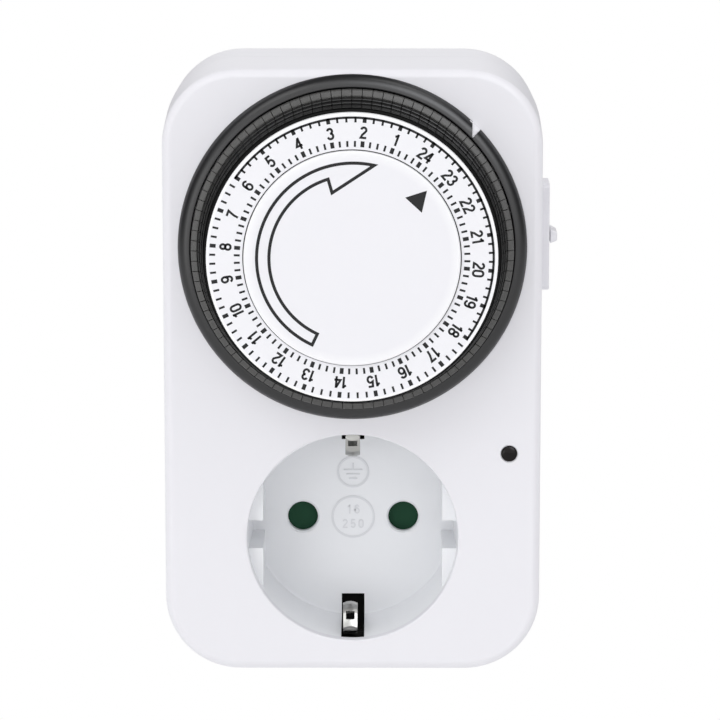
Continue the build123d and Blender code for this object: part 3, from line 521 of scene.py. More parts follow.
# The brighter ring near the cap's edge is a painted highlight, not a colour of the plastic.
cap_white = ringed(
    "cap_white", (0.820, 0.817, 0.850), (0.900, 0.900, 0.915), 17.6, 19.6, (0.36, 0.46)
)
green = moulded(
    "shutter_green", (0.008, 0.046, 0.022), (0.011, 0.055, 0.028), (0.4, 0.55), gloss=0.12
)
gear_white = moulded("gear_acetal", (0.72, 0.70, 0.62), (0.66, 0.64, 0.56), (0.3, 0.42))
grey = moulded("post_grey", (0.42, 0.42, 0.44), (0.38, 0.38, 0.40), (0.35, 0.5))
ink = moulded(
    "print_black", (0.010, 0.010, 0.011), (0.015, 0.015, 0.016), (0.5, 0.65), 3500, gloss=0.3
)
# Matte dead black: the drum's own black plastic, and painted shade in the pockets behind the earth
# slots.
matte_black_and_shade = moulded("drum_black_and_slot_shade", (0.006, 0.006, 0.006), (0.009, 0.009, 0.009), (0.6, 0.8), gloss=0.1)
nickel = drawn_metal(
    "nickel_plate", (0.72, 0.71, 0.68), (0.62, 0.61, 0.58), (0.16, 0.30), (1, 0.06, 1)
)
clip_metal = drawn_metal(
    "clip_metal", (0.52, 0.52, 0.50), (0.34, 0.34, 0.33), (0.22, 0.36), (1, 0.06, 1)
)
brass = drawn_metal(
    "brass_strip", (0.78, 0.58, 0.28), (0.66, 0.47, 0.20), (0.24, 0.40), (1, 1, 0.08)
)
zinc = drawn_metal(
    "zinc_plate", (0.62, 0.63, 0.65), (0.52, 0.53, 0.56), (0.30, 0.48), (0.1, 1, 1)
)
spring = drawn_metal(
    "spring_steel", (0.52, 0.52, 0.54), (0.44, 0.44, 0.46), (0.20, 0.34), (1, 1, 0.07)
)

lens_look = Finish("lens_dark", (0.006, 0.004, 0.004), 0.12, gloss=0.2)
lens_cloud = lens_look.noise(500, 2)
lens_look.tint(lens_cloud, (0.004, 0.003, 0.003), (0.008, 0.005, 0.005))
lens_look.rough(lens_cloud, 0.08, 0.16)
lens_look.grain(lens_look.noise(900, 1), 0.000004)

lamp_look = Finish("lamp_glass", (0.85, 0.55, 0.42), 0.08)
lamp_cloud = lamp_look.noise(300, 2)
lamp_look.tint(lamp_cloud, (0.85, 0.55, 0.42), (0.75, 0.45, 0.34))
lamp_look.rough(lamp_cloud, 0.05, 0.12)


# ---- Case
def half_case(name, outer, edge):
    """A tapered tray with its floor at a height and its rim at the parting line."""
    depth = abs(outer - SPLIT)
    way = 1 if outer > SPLIT else -1
    tray = block(name, (WIDTH, HEIGHT, depth), (0, CASE_Y, (outer + SPLIT) / 2), CORNER, 18)
    half_width, half_height = WIDTH / 2, HEIGHT / 2
    narrow = (
        (half_width - depth * DRAFT) / half_width,
        (half_height - depth * DRAFT) / half_height,
        1,
    )
    edit(tray)
    pick(tray, "FACE", lambda at: abs(at.z - outer) < NEAR)
    bpy.ops.transform.resize(value=narrow, center_override=(0, CASE_Y, outer))
    pick(tray, "EDGE", lambda at: abs(at.z - outer) < NEAR)
    bpy.ops.mesh.bevel(offset=edge, offset_type="OFFSET", segments=8, affect="EDGES")
    pick(tray, "EDGE", lambda at: abs(at.z - SPLIT) < NEAR)
    bpy.ops.mesh.bevel(offset=PARTING_EDGE, offset_type="OFFSET", segments=2, affect="EDGES")
    pick(tray, "FACE", lambda at: abs(at.z - SPLIT) < NEAR)
    bpy.ops.mesh.inset(thickness=WALL - PARTING_EDGE, depth=0)
    raise_by((0, 0, way * (depth - WALL)))
    bpy.ops.transform.resize(value=narrow, center_override=(0, CASE_Y, outer - way * WALL))
    close()
    return tray


def on_side(piece, out=0.0):
    """Turns a piece that lies flat to face right, in the side switch's place."""
    piece.rotation_euler = (0, pi / 2, 0)
    piece.location = (SEAT_X + out, SLIDE_Y, SLIDE_Z)
    apply_place(piece)
    return piece


def front_cover():
    """The front half of the case, with its openings and its pointer."""
    cover = half_case("cover_shell", FACE, FRONT_EDGE)
    inside, above = 40, FACE + 3
    dial_hole = rod("dial_hole", COLLAR_R + 2 * FIT, FACE - 6, FACE + 6, (0, DIAL_Y), 192)
    rim = 0.42
    recess_hole = turned(
        "recess_hole",
        [(0, inside), (RECESS_R, inside), (RECESS_R, FACE - rim),
         (RECESS_R + 0.14, FACE - 0.16), (RECESS_R + rim, FACE),
         (RECESS_R + rim, above), (0, above)],
        closed=False,
    )
    lens_r, lens_rim_r = LENS_R + FIT, LENS_R + 0.3
    lens_hole = turned(
        "lens_hole",
        [(0, inside), (lens_r, inside), (lens_r, FACE - 0.2), (lens_rim_r, FACE + 0.05),
         (lens_rim_r, above), (0, above)],
        (LENS_X, LENS_Y), 64, closed=False,
    )
    seat_size = (FRAME_WIDE + 2 * FIT, FRAME_TALL + 2 * FIT, 4)
    seat = on_side(block("switch_seat", seat_size, (0, 0, 0), FRAME_ROUND, 5), 2)
    window = block("switch_window", (8, 16.8, 5.4), (SEAT_X - 2, SLIDE_Y, SLIDE_Z))
    cut(cover, dial_hole, recess_hole, lens_hole, seat, window)

    tip = polar(BEZEL_LIP + 0.25, NOTCH_TIP - 0.02)
    left = polar(BEZEL_R - FIT, NOTCH_LEFT + 0.18)
    right = polar(BEZEL_R - FIT, NOTCH_RIGHT - 0.08)
    pointer = plate("pointer", [tip, left, right], FACE - 0.5, FACE + POINTER_UP)
    edit(pointer)
    pick(pointer, "VERT", lambda at: at.z > FACE and (at.xy - Vector(tip)).length > 0.5)
    bpy.ops.transform.translate(value=(0, 0, -POINTER_FALL))
    close()
    soften(pointer, 0.03, 1)
    cut(cover, pointer, how="UNION")
    return finish_piece(cover, "case", white, ["front_cover"])


def rear_case():
    """The back half, with the plug nose, its grooves and the screw recesses.

    The nose and the screw pillars end inside the walls that they join, because a
    join of two faces in one plane leaves double faces.
    """
    shell = half_case("back_shell", REAR, REAR_EDGE)
    joint = REAR + WALL / 2
    nose = turned(
        "nose",
        [(0, joint), (NOSE_R, joint), (NOSE_R, 0), (0, 0)],
        steps=160,
        closed=False,
    )
    for side in (-1, 1):
        cut(nose, block("nose_flat", (10, 60, 40), (side * (NOSE_HALF + 5), 0, 0)))
        cut(nose, block("guide_groove", (3.6, 4.6, 40), (side * NOSE_HALF, 0, -5)))
        cut(nose, block("earth_groove", (6.0, 3.8, 40), (0, side * NOSE_R, -2.5)))
    soften(nose, 0.5, 3, 40)
    hollow = block("nose_hollow", (27.0, 29.0, 40), (0, 0, 22.5), 8, 10)
    pillar_r, head_r, bore_r = 4.2, 2.9, 1.55
    pillars = [rod("pillar", pillar_r, REAR + 1, SPLIT - FIT, at, 48) for at in SCREWS]
    cut(shell, nose, *pillars, how="UNION")
    cut(shell, hollow)
    for at in SCREWS:
        cut(shell, rod("head_recess", head_r, 0, REAR + SCREW_SINK, at, 64))
        cut(shell, rod("bore", bore_r, 0, 60, at, 32))
    for side in (-1, 1):
        cut(shell, rod("pin_hole", NECK_R + FIT, -5, 10, (side * PIN_X, 0), 64))
        cut(shell, rod("pin_relief", PIN_R + 2 * FIT, -5, 0.3, (side * PIN_X, 0), 64))
        cut(shell, block("window", (5.2, 1.0, 6), (0, side * 17.1, REAR + 1)))
    return finish_piece(shell, "case", white, ["rear_case"])


def case_screws():
    """Four pan-head screws with a cross recess, at the bottom of their holes."""
    x, y = SCREWS[0]
    low = REAR + SCREW_SINK
    head_up, head_r = 2.0, 2.8
    shank_r, shank_end = 1.45, low + 21
    head = turned(
        "case_screw",
        [(0, low - head_up), (1.2, low - 1.95), (2.1, low - 1.7), (2.65, low - 1.15),
         (head_r, low - 0.4), (head_r, low), (shank_r, low), (shank_r, shank_end), (0, shank_end)],
        (x, y), 48, closed=False,
    )
    for size in ((3.0, 0.6), (0.6, 3.0)):
        cross = block("cross", (*size, 2.4), (x, y, low - head_up))
        edit(cross)
        pick(cross, "FACE", lambda at: at.z > low - 1.5)
        bpy.ops.transform.resize(value=(0.55, 0.55, 1), center_override=(x, y, low))
        close()
        cut(head, cross)
    soften(head, 0.05, 1, 40)
    screws = [head]
    for number, place in enumerate(SCREWS[1:]):
        turn = 25 * number + 15
        screws.append(copy_of(head, turn, (x, y), (place[0] - x, place[1] - y, 0)))
    return finish_piece(joined("screws", screws), "case", zinc, ["case_screws"])


def plug_pin(side, node):
    """A solid pin with a rounded tip and a flange behind the nose wall."""
    tip, tip_round = -PIN_LONG, 1.2
    flange_r, flange_low, flange_high = 3.2, 2.5, 4.0
    shank_r, shank_end = 2.0, 11.5
    profile = [(0, tip)]
    for turn in (radians(angle) for angle in range(0, 91, 10)):
        across = PIN_R - tip_round + tip_round * sin(turn)
        profile.append((across, tip + tip_round - tip_round * cos(turn)))
    profile += [(PIN_R, -NECK_GAP), (NECK_R, -NECK_GAP), (NECK_R, flange_low)]
    profile += [(flange_r, flange_low), (flange_r, flange_high)]
    profile += [(shank_r, flange_high), (shank_r, shank_end), (0, shank_end)]
    pin = turned(node + "_turned", profile, (side * PIN_X, 0), 72, closed=False)
    return finish_piece(pin, "case", nickel, [node])


# ---- Outlet recess
def socket_cup():
    """The recess: tapered wall, side guides, earth slots, pin holes, shutter pivot."""
    back = FLOOR - FLOOR_THICK
    cup = turned(
        "recess_cup",
        [(0, back), (CUP_R, back), (CUP_R, CUP_TOP), (RECESS_R, CUP_TOP),
         (FLOOR_R + 0.25, FLOOR + 0.4), (FLOOR_R + 0.1, FLOOR + 0.1),
         (FLOOR_R - 0.2, FLOOR), (0, FLOOR)],
        steps=192,
        closed=False,
    )
    guides = rod("side_guides", 20.4, FLOOR - 0.5, FACE - 3.0, sides=192)
    cut(guides, block("between_guides", (2 * FLAT_HALF, 60, 60), (0, 0, 40)))
    cut(guides, block("guide_slot", (60, GUIDE_WIDE, 60), (0, 0, 40)))
    soften(guides, 0.25, 3, 40)
    cut(cup, guides, how="UNION")
    below, above = 30, FLOOR + 3
    rim_r = HOLE_R + 0.35
    earth_y = EARTH_INNER + EARTH_DEEP / 2
    for side in (-1, 1):
        cut(cup, block("earth_slot", (EARTH_WIDE, EARTH_DEEP, 30), (0, side * earth_y, 45)))
        hole = turned(
            "pin_hole",
            [(0, below), (HOLE_R, below), (HOLE_R, FLOOR - 0.35), (rim_r, FLOOR + 0.02),
             (rim_r, above), (0, above)],
            (side * PIN_X, 0), 72, closed=False,
        )
        cut(cup, hole)
    pivot = rod("shutter_pivot", PIVOT_R, FLOOR - 4.2, FLOOR - 1.2, sides=48)
    cut(cup, pivot, how="UNION")
    return finish_piece(cup, "case", cup_white, ["socket_cup"])


def raised_signs():
    """The earth sign and the rated figures, each in a ring, on the recess floor."""
    low, up = FLOOR - 0.3, FLOOR + 0.2
    shoulder = up - 0.04
    width = 0.2
    pieces = []
    for radius, y in ((2.85, 8.7), (3.9, 0.0)):
        profile = [
            (radius - width, low), (radius - width, shoulder), (radius - width / 2, up),
            (radius + width / 2, up), (radius + width, shoulder), (radius + width, low),
        ]
        pieces.append(turned("sign_ring", profile, (0, y), 96))
    thick = 0.26
    bars = ((9.75, (thick, 1.3)), (9.1, (3.6, thick)), (8.25, (2.6, thick)), (7.4, (1.6, thick)))
    for y, size in bars:
        bar = block("sign_bar", (*size, up - low), (0, y, (up + low) / 2))
        soften(bar, 0.05, 2)
        pieces.append(bar)
    lines = digit_lines()
    small, stroke, rise, advance = 0.8, 0.22, 0.16, 1.5
    for row, y in (("16", 1.45), ("250", -1.35)):
        for place, digit in enumerate(row):
            x = (place - (len(row) - 1) / 2) * advance
            for line, loop in lines[digit]:
                shrunk = [(x + small * across, y + small * up_by) for across, up_by in line]
                pieces.append(pen_stroke("raised_digit", shrunk, stroke, FLOOR, loop, rise))
    # The darker white on the signs is painted shade.
    return finish_piece(joined("raised_signs", pieces), "case", signs_shaded_white)


def earth_clips():
    """Two bent spring strips that reach through the recess slots."""
    path = [
        (20.5, 22.0), (33.0, 21.6), (44.0, 19.7), (47.2, 19.1), (48.0, 18.6), (48.15, 18.0),
        (47.8, 17.2), (47.1, 15.9), (46.4, 15.1), (45.5, 14.6), (44.4, 14.5), (42.8, 15.2),
        (38.6, 17.8),
    ]
    half = 1.3
    strip = drawn("earth_clip", [(-half, y, z) for z, y in path])
    pick_all()
    raise_by((2 * half, 0, 0))
    close()
    edit(strip, "EDGE")
    pick_all()
    bpy.ops.mesh.subdivide(number_cuts=3)
    close()
    bend_z, bend_y, top_z = 40, 18.5, 47
    for point in strip.data.vertices:
        if point.co.z > bend_z and point.co.y < bend_y:
            crown = 1 - (point.co.x / half) ** 2
            point.co.y -= 0.35 * crown
        elif point.co.z > top_z:
            point.co.x *= 0.85
    modify(strip, "SOLIDIFY", thickness=0.42, offset=0)
    lower = mirrored(strip)
    cut(strip, block("clip_window", (1.7, 1.1, 4), (0, 17.1, 47)))
    cut(lower, block("clip_window", (1.6, 1.4, 4), (0, -15.9, 47)))
    for piece in (strip, lower):
        soften(piece, 0.1, 2, 50)
    lower.location = (-0.45, 0, 0)
    apply_place(lower)
    clips = joined("earth_clips_bent", [strip, lower])
    edit(clips)
    face_out()
    return finish_piece(clips, "case", clip_metal, ["earth_clips"], 60)


def slot_liners():
    """Black pockets behind the earth slots: painted shade, dark sheets where the slots hold only
    shadow.
    """
    low, high, above = FLOOR - 0.1, 48.0, 60
    wall_r = RECESS_R + 0.1
    shade_boxes = []
    for side in (-1, 1):
        shade_box = block("slot_shade_box", (4.24, 7.6, 18.8), (0, side * 18.85, 40.5))
        modify(shade_box, "SOLIDIFY", thickness=0.15, offset=1)
        inside = turned(
            "inside_recess",
            [(0, low), (FLOOR_R + 0.35, low), (wall_r, high), (wall_r, above), (0, above)],
            closed=False,
        )
        cut(shade_box, inside)
        shade_boxes.append(shade_box)
    return finish_piece(joined("slot_liners", shade_boxes), "case", matte_black_and_shade)


# ---- Bezel and dial
def bezel():
    """The dark ring around the dial, with a notch for the pointer."""
    skirt, lip_round, beyond = -2.8, 0.08, BEZEL_R + 0.8
    profile = [(BEZEL_LIP, skirt), (COLLAR_R, skirt), (COLLAR_R, 0.0), (BEZEL_R, 0.0)]
    profile += eased((BEZEL_R, 0.28), (BEZEL_R - 0.55, 1.62), (BEZEL_LIP + 0.3, BEZEL_UP))
    profile += [(BEZEL_LIP + lip_round, BEZEL_UP - lip_round), (BEZEL_LIP, BEZEL_UP - 0.3)]
    ring = turned("bezel_ring", raised(profile), (0, DIAL_Y), 256)
    corners = [
        polar(BEZEL_LIP + 0.15, NOTCH_TIP), polar(beyond, NOTCH_LEFT), polar(beyond, NOTCH_RIGHT)
    ]
    cut(ring, plate("notch", corners, FACE - FIT, FACE + 4))
    return finish_piece(ring, "case", black, ["dial_bezel"])


def drum():
    """The turning drum: rim, hub and a flange with a slot for each tab."""
    inner, plate_low, step_r, rim_round = 25.2, 9.3, 25.4, 0.15
    profile = [
        (POST_R, HUB_UP), (HUB_R, HUB_UP), (HUB_R, plate_low), (inner, plate_low),
        (inner, FLANGE_LOW), (FLANGE_R, FLANGE_LOW), (FLANGE_R, FLANGE_TOP),
        (DRUM_R, FLANGE_TOP), (DRUM_R, RIM_UP - rim_round), (DRUM_R - rim_round, RIM_UP),
        (step_r, RIM_UP), (step_r, DRUM_UP), (POST_R, DRUM_UP),
    ]
    body = turned("drum_shell", raised(profile), (0, DIAL_Y), 192)
    slot = block("tab_slot", (1.2, 1.6, 6), (0, DIAL_Y + 27.95, FACE - 2.4))
    slots = [copy_of(slot, SECOND_HOUR + n * TAB_PITCH, (0, DIAL_Y)) for n in range(TABS)]
    bpy.data.objects.remove(slot)
    cut(body, joined("tab_slots", slots))
    return finish_piece(body, "dial", matte_black_and_shade, ["dial_drum"])


def one_tab():
    """A quarter-hour tab with its three ribs, standing at the top of the dial."""
    outline = [
        (26.95, 1.5), (29.42, 1.5), (29.42, 3.0), (29.3, 3.15), (28.5, 3.4), (28.42, 3.5),
        (28.3, 3.5), (28.25, 2.9), (28.05, 2.9), (28.0, 4.5), (27.8, 4.6), (27.76, 4.3),
        (27.64, 4.3), (27.58, 6.3), (27.38, 6.4), (27.34, 6.1), (27.24, 6.1), (27.18, 8.2),
        (27.05, 8.3), (27.05, 9.4), (26.95, 9.5),
    ]
    side = [(-1, DIAL_Y + radius, height) for radius, height in raised(outline)]
    tab = slab("tab", side, (2, 0, 0))
    for point in tab.data.vertices:
        half_pitch = (point.co.y - DIAL_Y) * radians(TAB_PITCH) / 2
        point.co.x *= half_pitch - TAB_GAP / 2
    modify(tab, "BEVEL", width=0.03, segments=1, limit_method="ANGLE", angle_limit=radians(50))
    foot = block("tab_foot", (1.0, 1.35, 7.6), (0, DIAL_Y + 27.925, FACE - 2.2))
    return joined("tab", [tab, foot])


def tabs():
    """All the tabs, four to an hour."""
    pattern = one_tab()
    for hour in range(1, HOURS + 1):
        first = SECOND_HOUR + (2 - hour) * HOUR_PITCH
        turns = [first - quarter * TAB_PITCH for quarter in range(QUARTERS)]
        four = joined(f"hour_tabs_{hour:02d}", [copy_of(pattern, a, (0, DIAL_Y)) for a in turns])
        node = f"tabs_hour_{hour:02d}"
        finish_piece(four, f"tab_{hour:02d}", tab_black, [node], 30)
    bpy.data.objects.remove(pattern)


def scale_disc():
    """The white hour ring, with a skirt round the drum's edge."""
    inner, skirt_r, edge = CAP_R + CAP_GAP, 25.45, 0.1
    profile = [
        (inner, DRUM_UP), (skirt_r, DRUM_UP), (skirt_r, SCALE_LOW), (SCALE_R, SCALE_LOW),
        (SCALE_R, SCALE_UP - edge), (SCALE_R - edge, SCALE_UP), (inner, SCALE_UP),
    ]
    ring = turned("scale_ring", raised(profile), (0, DIAL_Y), 256)
    return finish_piece(ring, "dial", disc_white, ["scale_disc"])


# ---- Print
INK_LOW, INK_UP = -0.02, 0.02


def bar_print(name, inner, outer, width, angle, surface):
    """A printed stroke along a radius."""
    bar = block(
        name,
        (width, outer - inner, INK_UP - INK_LOW),
        (0, DIAL_Y + (inner + outer) / 2, surface + (INK_UP + INK_LOW) / 2),
    )
    twin = copy_of(bar, angle, (0, DIAL_Y))
    bpy.data.objects.remove(bar)
    return twin


def arc_print(name, inner, outer, start, end, surface, step=1.5):
    """A printed band between two radii and two clockwise angles."""
    count = max(2, round((end - start) / step))
    angles = [start + (end - start) * n / count for n in range(count + 1)]
    outline = [polar(outer, a) for a in angles] + [polar(inner, a) for a in reversed(angles)]
    return plate(name, outline, surface + INK_LOW, surface + INK_UP)


def pen_stroke(name, line, width, surface, loop=False, rise=INK_UP):
    """A printed or raised line of one width through (x, y) points."""
    piece = drawn(name, [(x, y, surface + INK_LOW) for x, y in line])
    pick_all()
    if loop:
        close_line()
    raise_by((0, 0, rise - INK_LOW))
    face_out()
    modify(piece, "SOLIDIFY", thickness=width, offset=0, use_even_offset=True)
    return piece


def curl(centre, across, up, start, end, count=10):
    """Points on an ellipse, from one clockwise angle to another."""
    turns = [radians(start + (end - start) * step / count) for step in range(count + 1)]
    return [(centre[0] + across * sin(turn), centre[1] + up * cos(turn)) for turn in turns]


def digit_lines():
    """The lines of each digit about its middle, and whether they close."""
    wide, tall, end = 0.48, 0.93, 1.08
    zero = curl((0, 0.42), wide, 0.51, -90, 90) + curl((0, -0.42), wide, 0.51, 90, 270)
    one_flag = [(-0.34, 0.55), (-0.1, 0.62), (0.16, 0.9)]
    two = curl((0, 0.45), 0.46, 0.48, -80, 105)
    two += [(0.2, 0.02), (-0.22, -0.42), (-0.44, -tall), (0.56, -tall)]
    three_top = curl((-0.03, 0.47), 0.43, 0.46, -78, 178)
    three_low = curl((-0.03, -0.42), 0.49, 0.51, 2, 258)
    four_arm = [(0.2, tall + 0.05), (-0.5, -0.42), (0.6, -0.42)]
    five = [(0.5, tall), (-0.3, tall), (-0.4, 0.03)]
    five += curl((-0.01, -0.36), wide, 0.57, -40, 250)
    six_bowl = curl((0, -0.37), wide, 0.56, -90, 250, 14)
    six_back = [(-wide, -0.37), (-wide, 0.35)] + curl((0, 0.45), wide, 0.48, -90, 72)
    seven = [(-0.56, tall), (0.46, tall), (0.2, 0.35), (-0.02, -0.3), (-0.14, -end)]
    eight_top = curl((0, 0.47), 0.42, 0.46, 0, 340, 16)
    eight_low = curl((0, -0.43), 0.49, 0.5, 0, 340, 16)
    nine_bowl = [(-x, -y) for x, y in six_bowl]
    nine_back = [(-x, -y) for x, y in six_back]
    return {
        "0": [(zero, True)],
        "1": [([(0.16, -end), (0.16, 1.07)], False), (one_flag, False)],
        "2": [(two, False)],
        "3": [(three_top, False), (three_low, False)],
        "4": [(four_arm, False), ([(0.23, -end), (0.23, end)], False)],
        "5": [(five, False)],
        "6": [(six_bowl, True), (six_back, False)],
        "7": [(seven, False)],
        "8": [(eight_top, True), (eight_low, True)],
        "9": [(nine_bowl, True), (nine_back, False)],
    }


def scale_print():
    """Hour numbers, quarter-hour strokes and the band over the night hours."""
    surface = FACE + SCALE_UP
    thin, bold, stroke, band = 0.38, 0.69, 0.40, 0.42
    inner_low, inner_high = 20.21, 21.28
    outer_low, outer_high = 24.62, 25.69
    marks = []
    for quarter in range(TABS):
        angle = PRINTED_HOUR - quarter * TAB_PITCH
        width = thin if quarter % QUARTERS else bold
        marks.append(bar_print("outer_stroke", outer_low, outer_high, width, angle, surface))
        marks.append(bar_print("inner_stroke", inner_low, inner_high, width, angle, surface))
    overlap = 0.65
    start, end = PRINTED_HOUR - 60 - overlap, PRINTED_HOUR + 120 + overlap
    marks.append(arc_print("night_band", outer_high - band, outer_high, start, end, surface))

    digits = {}
    for digit, lines in digit_lines().items():
        name = "digit_" + digit
        strokes = [pen_stroke(name, line, stroke, surface, loop) for line, loop in lines]
        digits[digit] = joined(name, strokes)
    numeral_r, advance, advance_one = 22.85, 1.40, 1.12
    for hour in range(1, HOURS + 1):
        angle = PRINTED_HOUR + (2 - hour) * HOUR_PITCH
        widths = [advance_one if digit == "1" else advance for digit in str(hour)]
        place = -sum(widths) / 2
        for digit, width in zip(str(hour), widths):
            place += width / 2
            straight = copy_of(digits[digit], shift=(place, DIAL_Y + numeral_r, 0))
            marks.append(copy_of(straight, angle, (0, DIAL_Y)))
            bpy.data.objects.remove(straight)
            place += width / 2
    for digit in digits.values():
        bpy.data.objects.remove(digit)
    return finish_piece(joined("scale_print", marks), "dial", ink)


def centre_cap():
    """The fixed white disc, held by a pin in the post."""
    edge = 0.35
    profile = [(0, CAP_LOW), (CAP_R, CAP_LOW)]
    profile += eased((CAP_R, CAP_UP - edge), (CAP_R, CAP_UP), (CAP_R - edge, CAP_UP), 5)
    profile += [(0, CAP_UP)]
    cap = turned("cap_disc", raised(profile), (0, DIAL_Y), 256, closed=False)
    pin = rod("cap_pin", 1.55, FACE + CAP_LOW - 5, FACE + CAP_LOW + 0.3, (0, DIAL_Y), 48)
    cut(cap, pin, how="UNION")
    return finish_piece(cap, "case", cap_white, ["centre_cap"])


def cap_print():
    """The arrow that shows which way the dial turns, and the pointer triangle."""
    surface = FACE + CAP_UP
    middle = (0.23, DIAL_Y)
    outer, inner, line = 17.38, 15.16, 0.57
    tail, tip, neck = 205.3, 372.5, 342.7
    barb = (middle[0] - 3.8, middle[1] + 11.98)
    outline = curl(middle, outer, outer, tail, tip, 84) + [barb]
    outline += curl(middle, inner, inner, neck, tail, 70)
    arrow = pen_stroke("arrow", outline, line, surface, True)
    corners = ((9.30, 11.15), (13.21, 12.42), (12.28, 8.40))
    triangle = plate(
        "triangle",
        [(middle[0] + x, middle[1] + y) for x, y in corners],
        surface + INK_LOW,
        surface + INK_UP,
    )
    return finish_piece(joined("cap_print", [arrow, triangle]), "case", ink)


# ---- Side switch and lamp
def side_switch():
    """The slide switch on the right side: a raised frame and a sloped knob."""
    surround = block(
        "switch_surround", (FRAME_WIDE, FRAME_TALL, FRAME_UP), (0, 0, FRAME_UP / 2), FRAME_ROUND, 6
    )
    slot = block("knob_slot", (3.2, 10.8, 8), (0, 0, 0))
    cut(surround, slot)
    soften(surround, 0.35, 3, 40)
    finish_piece(on_side(surround), "case", white, ["switch_frame"])

    gap, knob_up = 0.15, 1.35
    knob = block("slide_knob", (6.0, 2.7, knob_up), (0, 0, FRAME_UP + gap + knob_up / 2))
    edit(knob)
    pick(knob, "FACE", lambda at: at.z > FRAME_UP + 1)
    top = (0, -0.3, FRAME_UP + gap + knob_up)
    bpy.ops.transform.resize(value=(0.94, 0.55, 1), center_override=top)
    close()
    soften(knob, 0.25, 3, 25)
    stem_up = FRAME_UP + 2.0
    stem = block("knob_stem", (3.0, 2.4, stem_up), (0, 0, stem_up / 2 - 1.6))
    foot = block("knob_foot", (5.0, 4.8, 1.0), (0, 0, -2.05))
    knob = on_side(joined("slide_knob", [knob, stem, foot]))
    finish_piece(knob, "switch", white, ["switch_knob"])


def indicator_lens():
    """The domed lens of the lamp, with a flange behind the cover's wall."""
    flange_r, flange_low, flange_up = 2.2, -3.0, -2.0
    shoulder, dome_up = -0.1, 0.35
    profile = [(0, flange_low), (flange_r, flange_low), (flange_r, flange_up)]
    profile += [(LENS_R, flange_up), (LENS_R, shoulder)]
    for turn in (radians(angle) for angle in range(15, 90, 15)):
        profile.append((LENS_R * cos(turn), shoulder + dome_up * sin(turn)))
    profile += [(0, shoulder + dome_up)]
    lens = turned("lens_dome", raised(profile), (LENS_X, LENS_Y), 64, closed=False)
    return finish_piece(lens, "case", lens_look.material, ["indicator_lens"])


front_cover()
rear_case()
case_screws()
plug_pin(-1, "neutral_pin")
plug_pin(1, "live_pin")
socket_cup()
raised_signs()
slot_liners()
earth_clips()
bezel()
drum()
tabs()
scale_disc()
scale_print()
centre_cap()
cap_print()
side_switch()
indicator_lens()

# ---- Finishes of the CAD nodes that stay
node_finishes = {
    "shutter": green,
    "shutter_spring": spring,
    "live_contact": brass,
    "neutral_contact": brass,
    "neutral_bar": brass,
    "live_feed_bar": brass,
    "switched_live_bar": brass,
    "earth_strap": nickel,
    "indicator_lamp": lamp_look.material,
    "drive_ring": gear_white,
    "dial_post": grey,
    "mechanism_plate": zinc,
    "gear_arbor": spring,
    "reduction_gear": gear_white,
    "motor_pinion": brass,
    "motor_can": zinc,
    "microswitch_body": black,
    "microswitch_plunger": gear_white,
    "trip_lever": spring,
}
for node, finish in node_finishes.items():
    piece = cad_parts[node]
    piece.data.materials.clear()
    piece.data.materials.append(finish)

# ---- Floor, light and camera
bpy.ops.object.select_all(action="DESELECT")
bpy.ops.mesh.primitive_plane_add(size=6, location=(0, 0, -0.30))
floor = named("floor")
floor_look = bpy.data.materials.new("floor_white")
floor_look.use_nodes = True
nodes, links = floor_look.node_tree.nodes, floor_look.node_tree.links
shader = nodes["Principled BSDF"]
shader.inputs["Base Color"].default_value = (0.9, 0.9, 0.9, 1)
shader.inputs["Roughness"].default_value = 0.8
glow = nodes.new("ShaderNodeEmission")
glow.inputs["Strength"].default_value = 1.0
rays = nodes.new("ShaderNodeLightPath")
blend = nodes.new("ShaderNodeMixShader")
links.new(rays.outputs["Is Camera Ray"], blend.inputs[0])
links.new(shader.outputs[0], blend.inputs[1])
links.new(glow.outputs[0], blend.inputs[2])
links.new(blend.outputs[0], nodes["Material Output"].inputs["Surface"])
floor.data.materials.append(floor_look)

world = bpy.data.worlds.new("studio")
bpy.context.scene.world = world
world.use_nodes = True
nodes, links = world.node_tree.nodes, world.node_tree.links
light = nodes["Background"]
light.inputs["Color"].default_value = (0.99, 0.99, 1.0, 1)
light.inputs["Strength"].default_value = 0.82


def sky(strength, colour=(1, 1, 1)):
    """An even light from all round."""
    made = nodes.new("ShaderNodeBackground")
    made.inputs["Color"].default_value = (*colour, 1)
    made.inputs["Strength"].default_value = strength
    return made.outputs[0]


def mixed(factor, first, second):
    """Two lights blended by a factor from 0 to 1."""
    made = nodes.new("ShaderNodeMixShader")
    for socket, source in zip(made.inputs, (factor, first, second)):
        links.new(source, socket)
    return made.outputs[0]


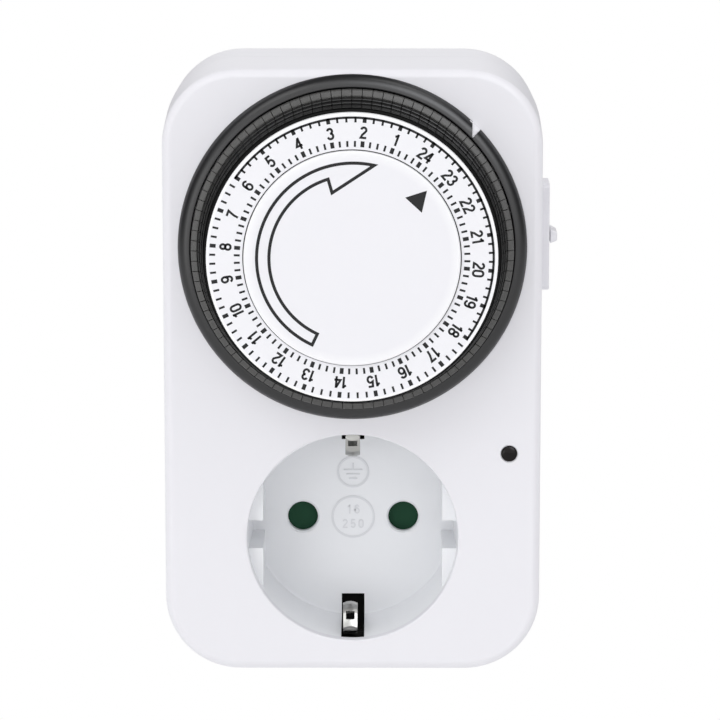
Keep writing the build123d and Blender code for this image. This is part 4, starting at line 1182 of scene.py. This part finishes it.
def facing(way, start, end):
    """From 0 to 1 as a ray turns towards a way, between two cosines."""
    place = nodes.new("ShaderNodeTexCoord")
    turn = nodes.new("ShaderNodeVectorMath")
    turn.operation = "DOT_PRODUCT"
    turn.inputs[1].default_value = Vector(way).normalized()
    links.new(place.outputs["Generated"], turn.inputs[0])
    reach = nodes.new("ShaderNodeMapRange")
    reach.inputs["From Min"].default_value = start
    reach.inputs["From Max"].default_value = end
    links.new(turn.outputs["Value"], reach.inputs["Value"])
    return reach.outputs[0]


rays = nodes.new("ShaderNodeLightPath")
studio = mixed(facing((0, -1, 0), 0.35, 0.95), sky(0.12), sky(1.3))
studio = mixed(facing((0, 0.96, 0.28), 0.93, 0.99), studio, sky(1.0))
studio = mixed(facing((0.38, -0.76, 0.52), 0.90, 0.99), studio, sky(5.0, (0.96, 0.97, 1.0)))
seen = mixed(rays.outputs["Is Glossy Ray"], light.outputs[0], studio)
seen = mixed(rays.outputs["Is Transmission Ray"], seen, sky(1.0))
seen = mixed(rays.outputs["Is Camera Ray"], seen, sky(1.0))
links.new(seen, nodes["World Output"].inputs["Surface"])


def soft_lamp(name, place, size, power):
    """A square lamp that faces the middle of the timer."""
    bpy.ops.object.light_add(type="AREA", location=place)
    lamp = bpy.context.object
    lamp.name = name
    lamp.data.size = size
    lamp.data.energy = power
    way = Vector((0, 0, 0.03)) - Vector(place)
    lamp.rotation_euler = way.to_track_quat("-Z", "Y").to_euler()


soft_lamp("key_lamp", (-0.8, -1.2, 1.4), 1.0, 6)
soft_lamp("fill_lamp", (0.9, -1.6, 0.2), 1.2, 1.2)
soft_lamp("side_lamp", (-0.9, -1.3, -0.05), 0.8, 3.2)
soft_lamp("top_lamp", (0.6, -0.3, 1.6), 0.8, 4)

EYE, PITCH, YAW = (0.00446, -0.77558, 0.17473), 0.19259, 0.00425
LENS_LENGTH, SENSOR = 200.73, 36.0
bpy.ops.object.camera_add(location=EYE, rotation=(pi / 2 - PITCH, 0, YAW))
camera = bpy.context.object
camera.data.lens = LENS_LENGTH
camera.data.sensor_width = SENSOR
camera.data.clip_start = 0.01
bpy.context.scene.camera = camera

scene = bpy.context.scene
scene.view_settings.view_transform = "Standard"
